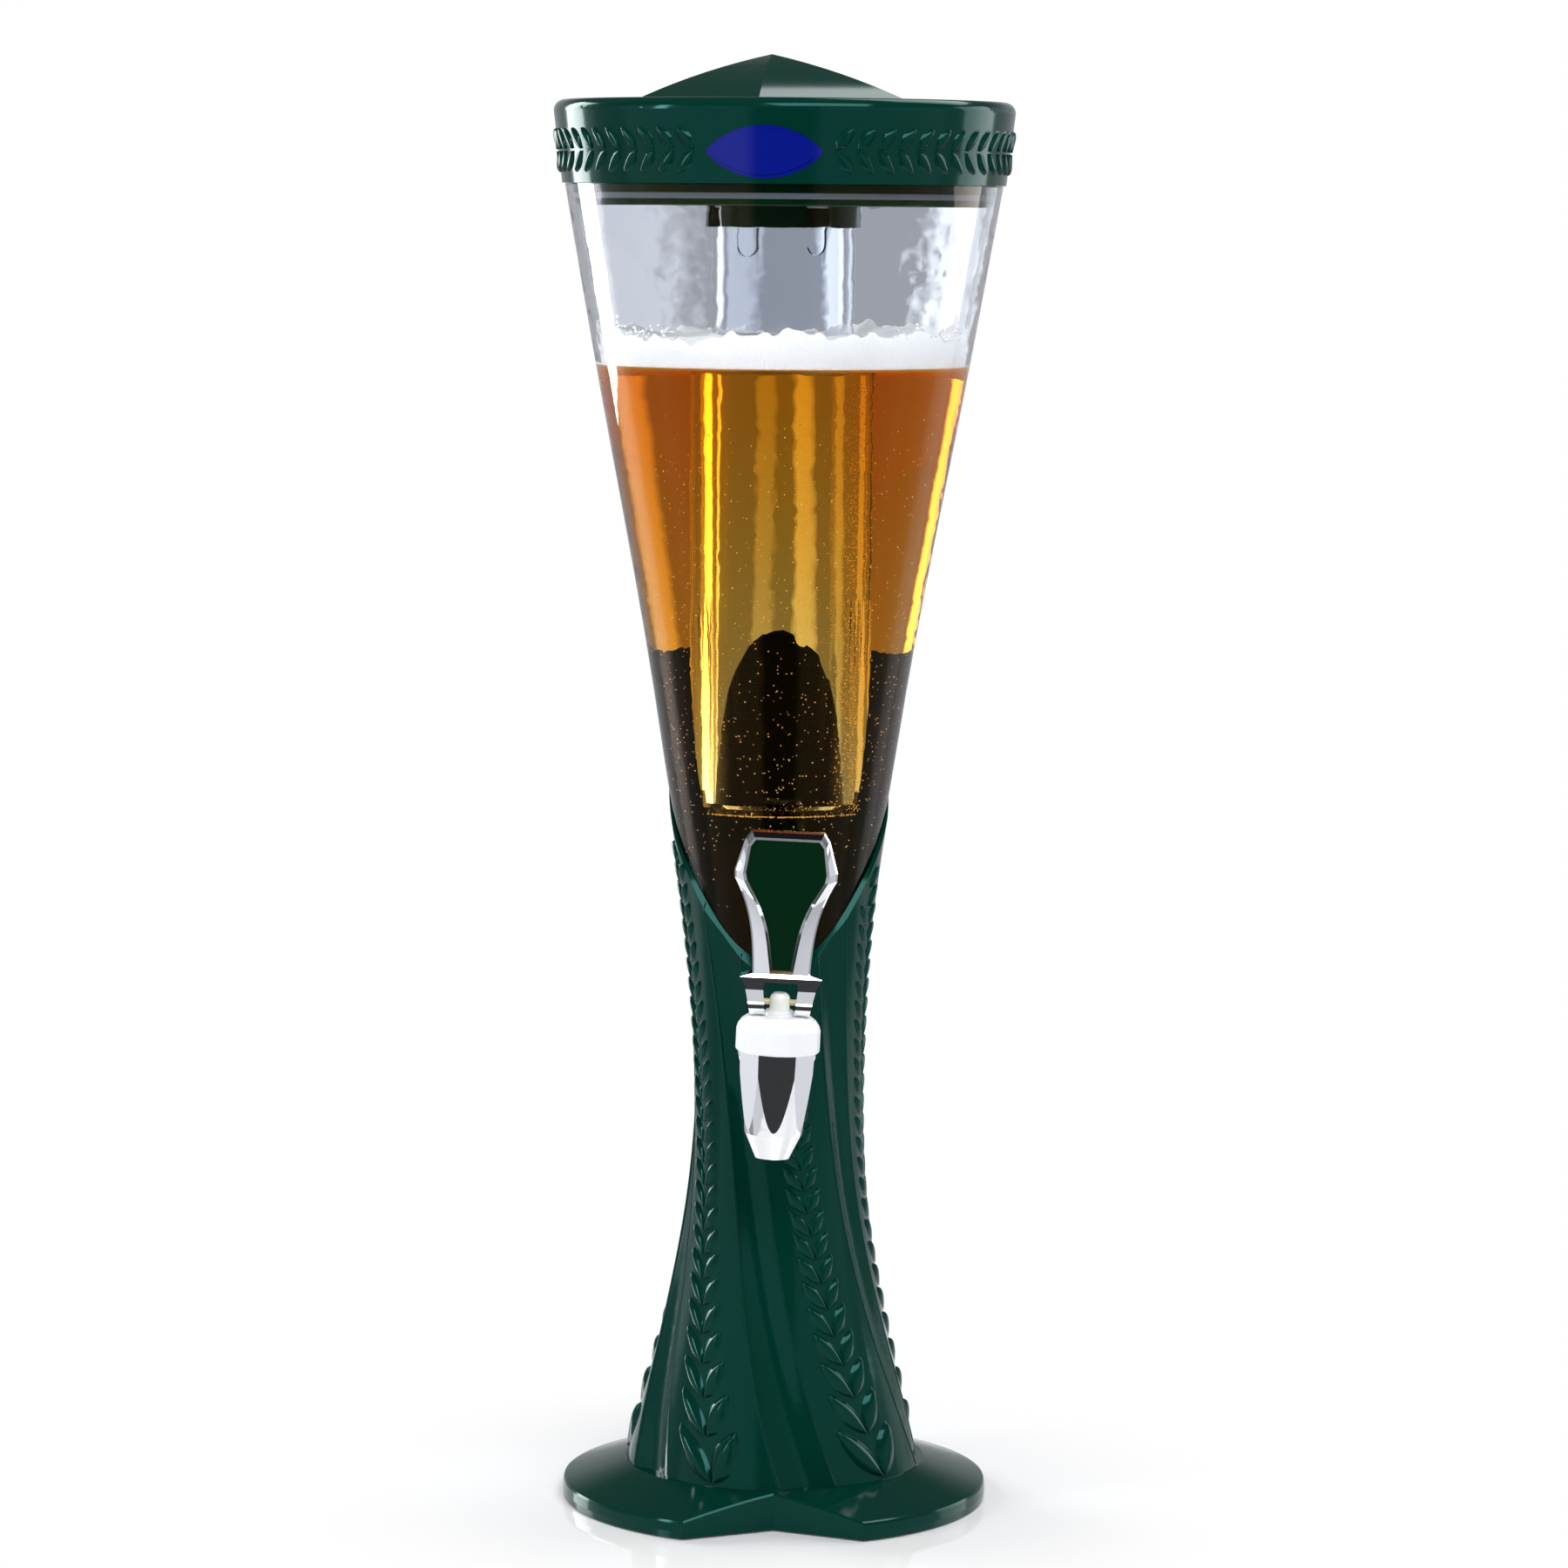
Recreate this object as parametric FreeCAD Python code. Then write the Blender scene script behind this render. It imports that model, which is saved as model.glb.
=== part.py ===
import FreeCAD, Part
import math
import os

# Beer tower dispenser, 3-litre class, in millimetres.
# +Z is up, the origin is on the floor under the column's axis, and the tap faces -Y.
# Angles called "turn" are measured from the front (-Y), positive towards +X.

os.makedirs("parts", exist_ok=True)

V = FreeCAD.Vector

# Clearances
SEAT = 0.25              # gap between curved faces that rest on each other
RUN = 0.06               # radial clearance of sliding and turning fits
THREAD = 0.05            # radial clearance of threads
HOLE = 0.2               # radial clearance of a screw or shank in its hole

# Column: outline (height, radius on the ridges) and depth of the flutes
BASE_TOP_Z = 19.6
COLUMN_OUT = [(BASE_TOP_Z, 74.6), (36.0, 70.4), (55.0, 65.4), (75.0, 60.1), (95.0, 55.2),
              (115.0, 51.0), (140.0, 46.7), (165.0, 43.9), (190.0, 42.6), (215.0, 42.5),
              (245.0, 43.5), (275.0, 45.6), (300.0, 48.2), (326.0, 51.5), (345.0, 54.2),
              (380.0, 60.5), (415.0, 66.2), (455.0, 73.2)]
FLUTE_DEPTH = [(BASE_TOP_Z, 5.6), (75.0, 4.8), (140.0, 3.6), (215.0, 2.8), (245.0, 2.4),
               (275.0, 1.7), (300.0, 1.1), (326.0, 0.5), (455.0, 0.4)]
COLUMN_FOOT_R = COLUMN_OUT[0][1]
COLUMN_WALL = 2.3
BOSS_RING = COLUMN_FOOT_R - 17.6
BOSS_R = 4.5
BOSS_H = 16.0
FLUTES = 5
PITCH = 360.0 / FLUTES
FLUTE_WIDTH = 23.0       # degrees of the smooth concave channel beside each ridge
FIELD_DEPTH = 0.42       # the leaf field lies this share of the flute depth below the ridge
TWIST_START = 2.0        # turn of the first ridge at the foot
TWIST_RATE = -0.24       # degrees per mm
TWIST_EASE = 0.0002      # degrees per mm squared

# Window cut at the top of the column: side profile (y, z), low at the front
WINDOW = [(-50.0, 252.0), (-45.0, 270.5), (-37.0, 289.5), (-26.0, 313.0), (-7.0, 338.0),
          (20.0, 371.0), (48.0, 409.0), (71.0, 443.0), (90.0, 470.0)]

# Base plate
BASE_R = 106.5           # outer radius
BASE_FLOOR = 0.8         # the skirt stops this far above the table
BASE_RIM_Z = 9.8
BASE_TOP_R = COLUMN_FOOT_R + 0.9
BASE_WALL = 2.6
BASE_HOLE_R = COLUMN_FOOT_R - 22.6
NOTCH_HALF = 44.3        # V notch at the front: half width at the rim
NOTCH_TIP_Y = -COLUMN_FOOT_R - 3.4
NOTCH_RIM_Y = NOTCH_TIP_Y - 18.9
COVER_Z = 1.2
COVER_T = 2.0
COVER_HOLE_R = BASE_HOLE_R - 7.0
FOOT_R = 8.0
FOOT_RING = BASE_R - 20.5
POST_R = 4.5
POST_RING = BASE_HOLE_R + 12.0

# Screws: shank radius, head radius, head thickness
COVER_SCREW = (1.5, 3.0, 1.3)
COLUMN_SCREW = (1.75, 3.6, 2.0)
VESSEL_SCREW = (1.5, 3.2, 1.8)
LINER_SCREW = (1.5, 3.0, 1.0)

# Vessel: outside profile (height, radius)
RIM_Z = 658.0
SHANK_Z = 236.0          # middle of the hole for the tap's shank
VESSEL = [(SHANK_Z - 26.1, 36.4), (240.0, 38.6), (270.0, 41.6), (300.0, 45.2), (326.0, 49.2),
          (352.0, 53.9), (405.0, 62.4), (457.0, 71.3), (509.0, 81.0), (560.0, 90.6),
          (612.0, 99.9), (RIM_Z, 107.9)]
VESSEL_LOW_Z = VESSEL[0][0]
VESSEL_WALL = 3.4
VESSEL_FLOOR_T = 4.0
VESSEL_FLOOR_Z = VESSEL_LOW_Z + 8.1
VESSEL_BOSS_R = 4.5
VESSEL_SCREW_RING = 24.0
WEB_T = 4.0              # ring in the column that carries the vessel
WEB_HOLE_R = 16.0

# Lid
LID_TURN = -5.0          # the lid is put on turned a little to the left
LID_BOTTOM_R = VESSEL[-1][1] + 1.4
LID_R = LID_BOTTOM_R + 4.2
LID_SHOULDER_Z = RIM_Z + 35.2
LID_ROUND = 5.6
LID_TOP_Z = LID_SHOULDER_Z + LID_ROUND
LID_WALL = 2.6
APEX_Z = LID_TOP_Z + 23.0
ROOF_HALF = 49.5         # half width of the pyramid where it dips under the lid's top
ROOF_SHIFT = -6.5        # the pyramid stands this far left of the drum's middle
ROOF_SINK = 0.9          # depth of that dip
ROOF_BULGE = 2.25        # the pyramid's faces stand this far proud of straight ones
BADGE_L = 57.0           # between the points before they are rounded
BADGE_H = 25.0
BADGE_END_R = 2.5
BADGE_SINK = 0.9         # depth of the badge's recess in the band
BADGE_CROWN = 0.6        # its domed middle stands this far proud
BADGE_Z = RIM_Z + 15.2
LINER_Z = RIM_Z - 10.0   # underside of the plug
LINER_T = 2.5
LINER_GAP = 0.5          # plug to vessel
LINER_SCREW_RING = 24.0
LINER_POST_R = 4.0
SEAL_H = 3.0
SEAL_DEPTH = 1.6

# Ice tube and its bayonet
TUBE_R = 35.0
TUBE_WALL = 2.5
TUBE_LENGTH = 296.6
TUBE_TOP_Z = LINER_Z - 1.2
TUBE_BOTTOM_Z = TUBE_TOP_Z - TUBE_LENGTH
TUBE_GASKET_T = 1.0
HUB_R = TUBE_R + 3.2
HUB_Z = LINER_Z - 10.4
LUG_TURNS = (-29.0, 151.0)
LUG_W = 11.0
LUG_Z = HUB_Z - 14.2
LUG_R = TUBE_R + 2.6
HEAD_R = TUBE_R + 1.6    # bayonet heads inside the hub
HEAD_Z = HUB_Z + 3.5
HEAD_T = 4.0
HEAD_PLAY = 0.3          # up and down in the groove
BAYONET_TURN = 34.0      # turn that brings the heads to the gaps
GAP_DEG = 20.0

# Tap
TAP_LEAN = 2.4           # degrees the tap is turned in its hole, top to the right
SHANK_R = 7.8
SHANK_BORE = 4.5
PAD_Y = -45.0            # flat pad on the column behind the tap
PAD_R = 19.8
TAP_Y = PAD_Y - 33.0     # vertical axis of the valve
WASHER_T = 1.2
FLANGE_R = PAD_R - 0.3
FLANGE_T = 3.0
NECK_R = 11.0
INNER_PAD_Y = PAD_Y + 13.5
INNER_PAD_R = 15.5
INNER_WASHER_R = INNER_PAD_R - 3.5
NUT_AF = 21.0
NUT_T = 6.0
BODY_TOP_Z = SHANK_Z + 3.4
BODY_R = 18.2
BODY_LOW_Z = SHANK_Z - 37.0
BODY_LOW_R = 14.2
TIP_Z = SHANK_Z - 49.0
TIP_R = 8.7
FACETS = 6
FACET_END_Z = SHANK_Z - 35.0   # the flats run out here
OUTLET_R = 5.5
SEAT_Z = SHANK_Z - 11.0
CHAMBER_R = 9.5
COLLAR_R = 15.2
COLLAR_TOP_Z = BODY_TOP_Z + 8.6
SEAL_T = 1.1
BONNET_R = 20.5
BONNET_TOP_Z = COLLAR_TOP_Z + 9.5
STEM_R = 4.9
STEM_NECK_R = 3.4
PIN_Z = BONNET_TOP_Z + 6.0
PIN_R = 1.5
LEG_IN = 7.0
LEG_OUT = 14.2
CROWN_OUT = 19.8
CAM_E = 6.0
CAM_START = 75.0         # degrees from straight down
CAM_REST = 0.12          # gap of the cam over the bonnet at rest
HANDLE_LOW_Z = PIN_Z + 12.5
HANDLE_T = 8.0
INSERT_T = 1.0
INSERT_GAP = 0.1
POCKET_D = 1.6
POCKET_BEVEL = 1.5

# Plate and insert of the handle: half widths up the right side, height above the plate's foot
PLATE_SIDE = [(14.0, 0.0), (14.2, 6.0), (14.7, 13.0), (15.5, 20.0), (16.8, 27.0), (18.7, 34.0),
              (21.4, 41.0), (24.8, 47.6)]
PLATE_TOP = [(25.0, 51.6), (20.6, 66.8), (17.8, 71.2)]
INSERT_SIDE = [(4.3, 3.4), (4.9, 7.0), (5.8, 13.0), (7.0, 20.0), (8.9, 27.0), (11.6, 34.0),
               (15.4, 41.0), (18.8, 47.0)]
INSERT_TOP = [(19.5, 50.2), (17.6, 63.4), (15.4, 66.4)]


def at(turn, radius, z):
    """Point on a circle about the tower's axis."""
    a = math.radians(turn)
    return V(radius * math.sin(a), -radius * math.cos(a), z)


def table(points, z):
    """Value at height z, straight lines between the rows."""
    for (z0, v0), (z1, v1) in zip(points, points[1:]):
        if z <= z1:
            return v0 + (v1 - v0) * (z - z0) / (z1 - z0)
    return points[-1][1]


def curve(points):
    """Smooth edge through points."""
    spline = Part.BSplineCurve()
    spline.interpolate(points)
    return spline.toShape()


def turned(edges):
    """Full turn of a closed profile in the XZ plane about Z."""
    face = Part.Face(Part.Wire(Part.__sortEdges__(edges)))
    return face.revolve(V(0, 0, 0), V(0, 0, 1), 360)


def ring_profile(corners):
    """Full turn of a polygon of (radius, z) corners."""
    points = [V(r, 0, z) for r, z in corners]
    face = Part.Face(Part.makePolygon(points + points[:1]))
    return face.revolve(V(0, 0, 0), V(0, 0, 1), 360)


def tube_solid(r_out, r_in, z0, z1, y=0.0):
    """Plain ring about a vertical axis."""
    outer = Part.makeCylinder(r_out, z1 - z0, V(0, y, z0))
    return outer.cut(Part.makeCylinder(r_in, z1 - z0, V(0, y, z0)))


def rod_y(radius, y0, y1, z):
    """Cylinder along Y in the tap's middle plane."""
    return Part.makeCylinder(radius, y1 - y0, V(0, y0, z), V(0, 1, 0))


def rods(spots, radius, z0, z1):
    """Upright cylinders at several spots."""
    return [Part.makeCylinder(radius, z1 - z0, V(p.x, p.y, z0)) for p in spots]


def screw(p, z_head, z_tip, sizes):
    """Pan head screw driven upwards, head below z_head."""
    r_shank, r_head, t_head = sizes
    arm = r_head * 1.2
    shank = Part.makeCylinder(r_shank, z_tip - z_head, V(p.x, p.y, z_head))
    head = Part.makeCylinder(r_head, t_head, V(p.x, p.y, z_head - t_head))
    drive = Part.makeBox(arm, 0.7, t_head * 0.5, V(p.x - arm / 2, p.y - 0.35, z_head - t_head))
    cross = Part.makeBox(0.7, arm, t_head * 0.5, V(p.x - 0.35, p.y - arm / 2, z_head - t_head))
    return shank.fuse(head).removeSplitter().cut(drive).cut(cross)


def screws(spots, z_head, z_tip, sizes):
    return Part.makeCompound([screw(p, z_head, z_tip, sizes) for p in spots])


def save(name, shape):
    shape.exportStep("parts/%s.step" % name)


# ---- base plate ------------------------------------------------------------

def post_spots():
    """Places of the bottom cover's screw posts."""
    return [at(PITCH * (n + 0.5), POST_RING, 0) for n in range(FLUTES)]


def foot_spots():
    return [at(PITCH * (n + 0.5), FOOT_RING, 0) for n in range(FLUTES)]


def boss_spots():
    """Places of the screws between the base plate and the column."""
    return [at(PITCH * n, BOSS_RING, 0) for n in range(FLUTES)]


def notch(grow):
    """Wedge taken out of the front of the base, grown sideways by a wall."""
    slope = (NOTCH_TIP_Y - NOTCH_RIM_Y) / NOTCH_HALF
    tip = NOTCH_TIP_Y + grow * math.sqrt(1 + slope * slope)
    wide = NOTCH_HALF * 2
    front = -BASE_R * 1.5
    corners = [V(0, tip, 0), V(wide, tip - slope * wide, 0), V(wide, front, 0),
               V(-wide, front, 0), V(-wide, tip - slope * wide, 0)]
    face = Part.Face(Part.makePolygon(corners + corners[:1]))
    return face.extrude(V(0, 0, BASE_TOP_Z * 2))


def on_notch_top(edge):
    """True for the two upper edges of the notch's sides."""
    middle = edge.valueAt((edge.FirstParameter + edge.LastParameter) / 2)
    slope = (NOTCH_TIP_Y - NOTCH_RIM_Y) / NOTCH_HALF
    on_side = abs(middle.y - NOTCH_TIP_Y + slope * abs(middle.x)) < 0.01
    return on_side and middle.z > BASE_RIM_Z + 0.5


def base_plate():
    w = BASE_WALL
    body = ring_profile([(0, BASE_FLOOR), (BASE_R, BASE_FLOOR), (BASE_R + 0.3, 4.0),
                         (BASE_R, BASE_RIM_Z - 1.6), (BASE_R - 0.5, BASE_RIM_Z - 0.5),
                         (BASE_R - 1.6, BASE_RIM_Z), (BASE_TOP_R, BASE_TOP_Z), (0, BASE_TOP_Z)])
    body = body.cut(notch(0))
    body = body.makeChamfer(0.7, [e for e in body.Edges if on_notch_top(e)])
    hollow = ring_profile([(0, -1), (BASE_R - w, -1), (BASE_R - w, BASE_RIM_Z - w),
                           (BASE_TOP_R - 0.8, BASE_TOP_Z - w), (0, BASE_TOP_Z - w)])
    body = body.cut(hollow.cut(notch(w)))
    body = body.cut(Part.makeCylinder(BASE_HOLE_R, BASE_TOP_Z * 2))
    for post in rods(post_spots(), POST_R, COVER_Z + COVER_T, BASE_TOP_Z - 1.0):
        body = body.fuse(post)
    for hole in rods(post_spots(), COVER_SCREW[0] + THREAD, 0, BASE_TOP_Z - w - 3.0):
        body = body.cut(hole)
    for hole in rods(boss_spots(), COLUMN_SCREW[0] + HOLE, 0, BASE_TOP_Z * 2):
        body = body.cut(hole)
    return body.removeSplitter()


def bottom_cover():
    z1 = COVER_Z + COVER_T
    recess = COVER_Z + COVER_SCREW[2] - 0.4
    cover = Part.makeCylinder(BASE_R - BASE_WALL - 0.3, COVER_T, V(0, 0, COVER_Z))
    cover = cover.cut(notch(BASE_WALL + 0.3))
    cover = cover.cut(Part.makeCylinder(COVER_HOLE_R, 10))
    for hole in rods(post_spots(), COVER_SCREW[0] + HOLE, 0, z1 + 1):
        cover = cover.cut(hole)
    for hole in rods(post_spots(), COVER_SCREW[1] + HOLE, 0, recess):
        cover = cover.cut(hole)
    for socket in rods(foot_spots(), FOOT_R + 0.1, 0, COVER_Z + 0.5):
        cover = cover.cut(socket)
    return cover


def cover_screws():
    return screws(post_spots(), COVER_Z + COVER_SCREW[2] - 0.4, BASE_TOP_Z - 7.6, COVER_SCREW)


def rubber_feet():
    return Part.makeCompound(rods(foot_spots(), FOOT_R, 0, COVER_Z + 0.5))


# ---- column ----------------------------------------------------------------

def flute(phi):
    """Share of the flute depth taken off at phi degrees after a ridge."""
    if phi <= FLUTE_WIDTH:
        dip = math.sin(math.pi * phi / FLUTE_WIDTH) ** 1.2
        return dip + FIELD_DEPTH * phi / FLUTE_WIDTH * (1 - 0.5 * dip)
    rest = (phi - FLUTE_WIDTH) / (PITCH - FLUTE_WIDTH)
    return FIELD_DEPTH * (1 - rest) ** 1.5


def column_section(z):
    """Closed wire of the ridges, with a smooth channel and a leaf field after each."""
    h = z - 20.0
    start = TWIST_START + TWIST_RATE * h + TWIST_EASE * h * h
    radius = table(COLUMN_OUT, z)
    depth = table(FLUTE_DEPTH, z)
    edges = []
    for n in range(FLUTES):
        for a, b, steps in ((0.0, FLUTE_WIDTH, 6), (FLUTE_WIDTH, PITCH, 7)):
            points = []
            for k in range(steps + 1):
                phi = a + (b - a) * k / steps
                points.append(at(start + n * PITCH + phi, radius - depth * flute(phi), z))
            edges.append(curve(points))
    return Part.Wire(edges)


def column_hollow(wall):
    """Space inside the column, from its foot to the web under the vessel."""
    top = VESSEL_LOW_Z - SEAT - WEB_T
    low = BASE_TOP_Z - 0.6
    heights = [low + (top - low) * k / 5 for k in range(6)]
    side = [V(table(COLUMN_OUT, z) - table(FLUTE_DEPTH, z) - wall, 0, z) for z in heights]
    return turned([curve(side), Part.makeLine(side[-1], V(0, 0, top)),
                   Part.makeLine(V(0, 0, top), V(0, 0, low)),
                   Part.makeLine(V(0, 0, low), side[0])])


def vessel_pocket():
    """Room for the vessel inside the column."""
    low = VESSEL_LOW_Z - SEAT
    side = [V(r + SEAT, 0, z) for z, r in VESSEL[:9]]
    side[0] = V(side[0].x, 0, low)
    top = side[-1].z
    return turned([curve(side), Part.makeLine(side[-1], V(0, 0, top)),
                   Part.makeLine(V(0, 0, top), V(0, 0, low)), Part.makeLine(V(0, 0, low), side[0])])


def above_window():
    """All that the slanting window cut takes off."""
    reach = BASE_R * 1.2
    side = [V(-reach, y, z) for y, z in WINDOW]
    high = V(-reach, side[-1].y, 520)
    front = V(-reach, -reach, 520)
    low = V(-reach, -reach, side[0].z)
    face = Part.Face(Part.Wire([curve(side), Part.makeLine(side[-1], high),
                                Part.makeLine(high, front), Part.makeLine(front, low),
                                Part.makeLine(low, side[0])]))
    return face.extrude(V(2 * reach, 0, 0))


def column_shell():
    solid = Part.makeLoft([column_section(z) for z, r in COLUMN_OUT], True, False)
    solid = solid.fuse(rod_y(PAD_R, PAD_Y, -20, SHANK_Z))
    solid = solid.cut(column_hollow(COLUMN_WALL))
    solid = solid.cut(vessel_pocket())
    solid = solid.cut(Part.makeCylinder(WEB_HOLE_R, 20, V(0, 0, VESSEL_LOW_Z - 10)))
    solid = solid.cut(above_window())
    solid = solid.cut(rod_y(SHANK_R + HOLE, -60, -20, SHANK_Z))
    inside = column_hollow(COLUMN_WALL - 0.6)
    for n, p in enumerate(boss_spots()):
        rib = Part.makeBox(14.0, 3.0, BOSS_H, V(0, -1.5, 0))
        rib.rotate(V(0, 0, 0), V(0, 0, 1), PITCH * n - 90)
        rib.translate(p + V(0, 0, BASE_TOP_Z))
        boss = Part.makeCylinder(BOSS_R, BOSS_H, p + V(0, 0, BASE_TOP_Z))
        solid = solid.fuse(boss.fuse(rib).common(inside))
    for hole in rods(boss_spots(), COLUMN_SCREW[0] + THREAD, BASE_TOP_Z - 1, BASE_TOP_Z + BOSS_H - 2):
        solid = solid.cut(hole)
    for hole in rods(vessel_spots(), VESSEL_SCREW[0] + HOLE, VESSEL_LOW_Z - 10, VESSEL_LOW_Z + 10):
        solid = solid.cut(hole)
    return solid


def column_screws():
    return screws(boss_spots(), BASE_TOP_Z - BASE_WALL, BASE_TOP_Z + BOSS_H - 4, COLUMN_SCREW)


# ---- vessel ----------------------------------------------------------------

def vessel_spots():
    """Places of the screws between the column's web and the vessel."""
    return [at(60 + 120 * n, VESSEL_SCREW_RING, 0) for n in range(3)]


def vessel_inner(z):
    return table(VESSEL, z) - VESSEL_WALL


def vessel_outside():
    """Outer curve of the vessel."""
    return [V(r, 0, z) for z, r in VESSEL]


def beer_vessel():
    out = vessel_outside()
    inside = [V(vessel_inner(VESSEL_FLOOR_Z), 0, VESSEL_FLOOR_Z)]
    inside += [V(r - VESSEL_WALL, 0, z) for z, r in VESSEL[1:]]
    under = VESSEL_FLOOR_Z - VESSEL_FLOOR_T
    foot = out[0].x - VESSEL_WALL
    low = VESSEL_LOW_Z
    body = turned([curve(out), Part.makeLine(out[-1], inside[-1]), curve(inside),
                   Part.makeLine(inside[0], V(0, 0, VESSEL_FLOOR_Z)),
                   Part.makeLine(V(0, 0, VESSEL_FLOOR_Z), V(0, 0, under)),
                   Part.makeLine(V(0, 0, under), V(foot, 0, under)),
                   Part.makeLine(V(foot, 0, under), V(foot, 0, low)),
                   Part.makeLine(V(foot, 0, low), out[0])])
    # flat pad inside for the nut of the tap
    pad = rod_y(INNER_PAD_R, INNER_PAD_Y - 5.5, INNER_PAD_Y, SHANK_Z)
    keep = turned([curve(out), Part.makeLine(out[-1], V(0, 0, RIM_Z)),
                   Part.makeLine(V(0, 0, RIM_Z), V(0, 0, low)),
                   Part.makeLine(V(0, 0, low), out[0])])
    body = body.fuse(pad.common(keep))
    body = body.cut(rod_y(SHANK_R + HOLE, -60, -20, SHANK_Z))
    for boss in rods(vessel_spots(), VESSEL_BOSS_R, low, under + 0.5):
        body = body.fuse(boss)
    for hole in rods(vessel_spots(), VESSEL_SCREW[0] + THREAD, low, low + 6.0):
        body = body.cut(hole)
    return body.removeSplitter()


def vessel_screws():
    return screws(vessel_spots(), VESSEL_LOW_Z - SEAT - WEB_T, VESSEL_LOW_Z + 5.0, VESSEL_SCREW)


# ---- lid -------------------------------------------------------------------

def roof(drop):
    """Four-sided pyramid with bulging faces, one edge towards the front."""
    eaves = LID_TOP_Z - ROOF_SINK - drop
    top = APEX_Z - drop
    middle = (eaves + top) / 2 + ROOF_BULGE
    sides = []
    for turn in (45.0, -45.0):
        right = Part.Arc(V(0, 0, top), V(ROOF_HALF / 2, 0, middle), V(ROOF_HALF, 0, eaves)).toShape()
        left = Part.Arc(V(-ROOF_HALF, 0, eaves), V(-ROOF_HALF / 2, 0, middle), V(0, 0, top)).toShape()
        floor = Part.makeLine(V(ROOF_HALF, 0, eaves), V(-ROOF_HALF, 0, eaves))
        face = Part.Face(Part.Wire([right, floor, left]))
        ridge = face.extrude(V(0, 2 * LID_R, 0))
        ridge.translate(V(0, -LID_R, 0))
        ridge.rotate(V(0, 0, 0), V(0, 0, 1), turn + LID_TURN)
        sides.append(ridge)
    pyramid = sides[0].common(sides[1])
    pyramid.translate(V(ROOF_SHIFT, 0, 0))
    return pyramid


def lid_outline(inset):
    """Closed profile of the lid's drum, shrunk by a wall."""
    r_low = LID_BOTTOM_R - inset
    r_high = LID_R - inset
    top = LID_TOP_Z - inset
    low = RIM_Z + SEAT if inset == 0 else RIM_Z - 2
    rnd = LID_ROUND - inset * 0.7
    a = V(r_low, 0, low)
    b = V(r_high, 0, LID_SHOULDER_Z)
    c = V(r_high - rnd, 0, top)
    mid = V(r_high - rnd * 0.27, 0, LID_SHOULDER_Z + (top - LID_SHOULDER_Z) * 0.72)
    arc = Part.Arc(b, mid, c).toShape()
    return turned([Part.makeLine(a, b), arc, Part.makeLine(c, V(0, 0, top)),
                   Part.makeLine(V(0, 0, top), V(0, 0, low)), Part.makeLine(V(0, 0, low), a)])


def liner_spots():
    """Places of the screws between the liner and the lid."""
    return [at(45 + 90 * n + LID_TURN, LINER_SCREW_RING, 0) for n in range(4)]


def lid_shell():
    drum = lid_outline(0).fuse(roof(0)).removeSplitter()
    shell = drum.cut(lid_outline(LID_WALL).fuse(roof(LID_WALL)))
    low = LINER_Z + LINER_T + SEAT
    for post in rods(liner_spots(), LINER_POST_R, low, APEX_Z):
        stub = post.common(Part.makeCylinder(LID_BOTTOM_R, RIM_Z + SEAT + 1.0))
        shell = shell.fuse(stub.fuse(post.common(drum)))
    for hole in rods(liner_spots(), LINER_SCREW[0] + THREAD, LINER_Z, LINER_Z + 16.0):
        shell = shell.cut(hole)
    recess = almond(BADGE_L + 0.2, BADGE_H + 0.2, BADGE_END_R + 0.1).cut(lid_band(-BADGE_SINK))
    recess.rotate(V(0, 0, 0), V(0, 0, 1), LID_TURN)
    return shell.cut(recess)


def almond(length, height, end_r):
    """Oval prism along Y with rounded points, through the front of the band."""
    h = length / 2.0
    v = height / 2.0
    front = -LID_R - 10.0
    back = -LID_R + 22.0
    up = Part.Arc(V(-h, front, BADGE_Z), V(0, front, BADGE_Z + v), V(h, front, BADGE_Z)).toShape()
    down = Part.Arc(V(h, front, BADGE_Z), V(0, front, BADGE_Z - v), V(-h, front, BADGE_Z)).toShape()
    prism = Part.Face(Part.Wire([up, down])).extrude(V(0, back - front, 0))
    points = [e for e in prism.Edges if e.BoundBox.YLength > 20.0 and e.BoundBox.XLength < 1.0]
    return prism.makeFillet(end_r, points)


def lid_band(grow):
    """Solid drum under the band's sloping face, grown outwards."""
    return ring_profile([(0, RIM_Z + SEAT), (LID_BOTTOM_R + grow, RIM_Z + SEAT),
                         (LID_R + grow, LID_SHOULDER_Z), (0, LID_SHOULDER_Z)])


def lid_badge():
    floor = lid_band(0.05 - BADGE_SINK)
    plate = almond(BADGE_L, BADGE_H, BADGE_END_R).common(lid_band(0.1)).cut(floor)
    crown = almond(BADGE_L - 4.0, BADGE_H - 3.6, BADGE_END_R).common(lid_band(BADGE_CROWN)).cut(floor)
    badge = plate.fuse(crown).removeSplitter()
    badge.rotate(V(0, 0, 0), V(0, 0, 1), LID_TURN)
    return badge


def seal_groove():
    """Lower and upper edge of the seal's groove in the plug."""
    return LINER_Z + 3.2, LINER_Z + 3.2 + SEAL_H


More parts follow.
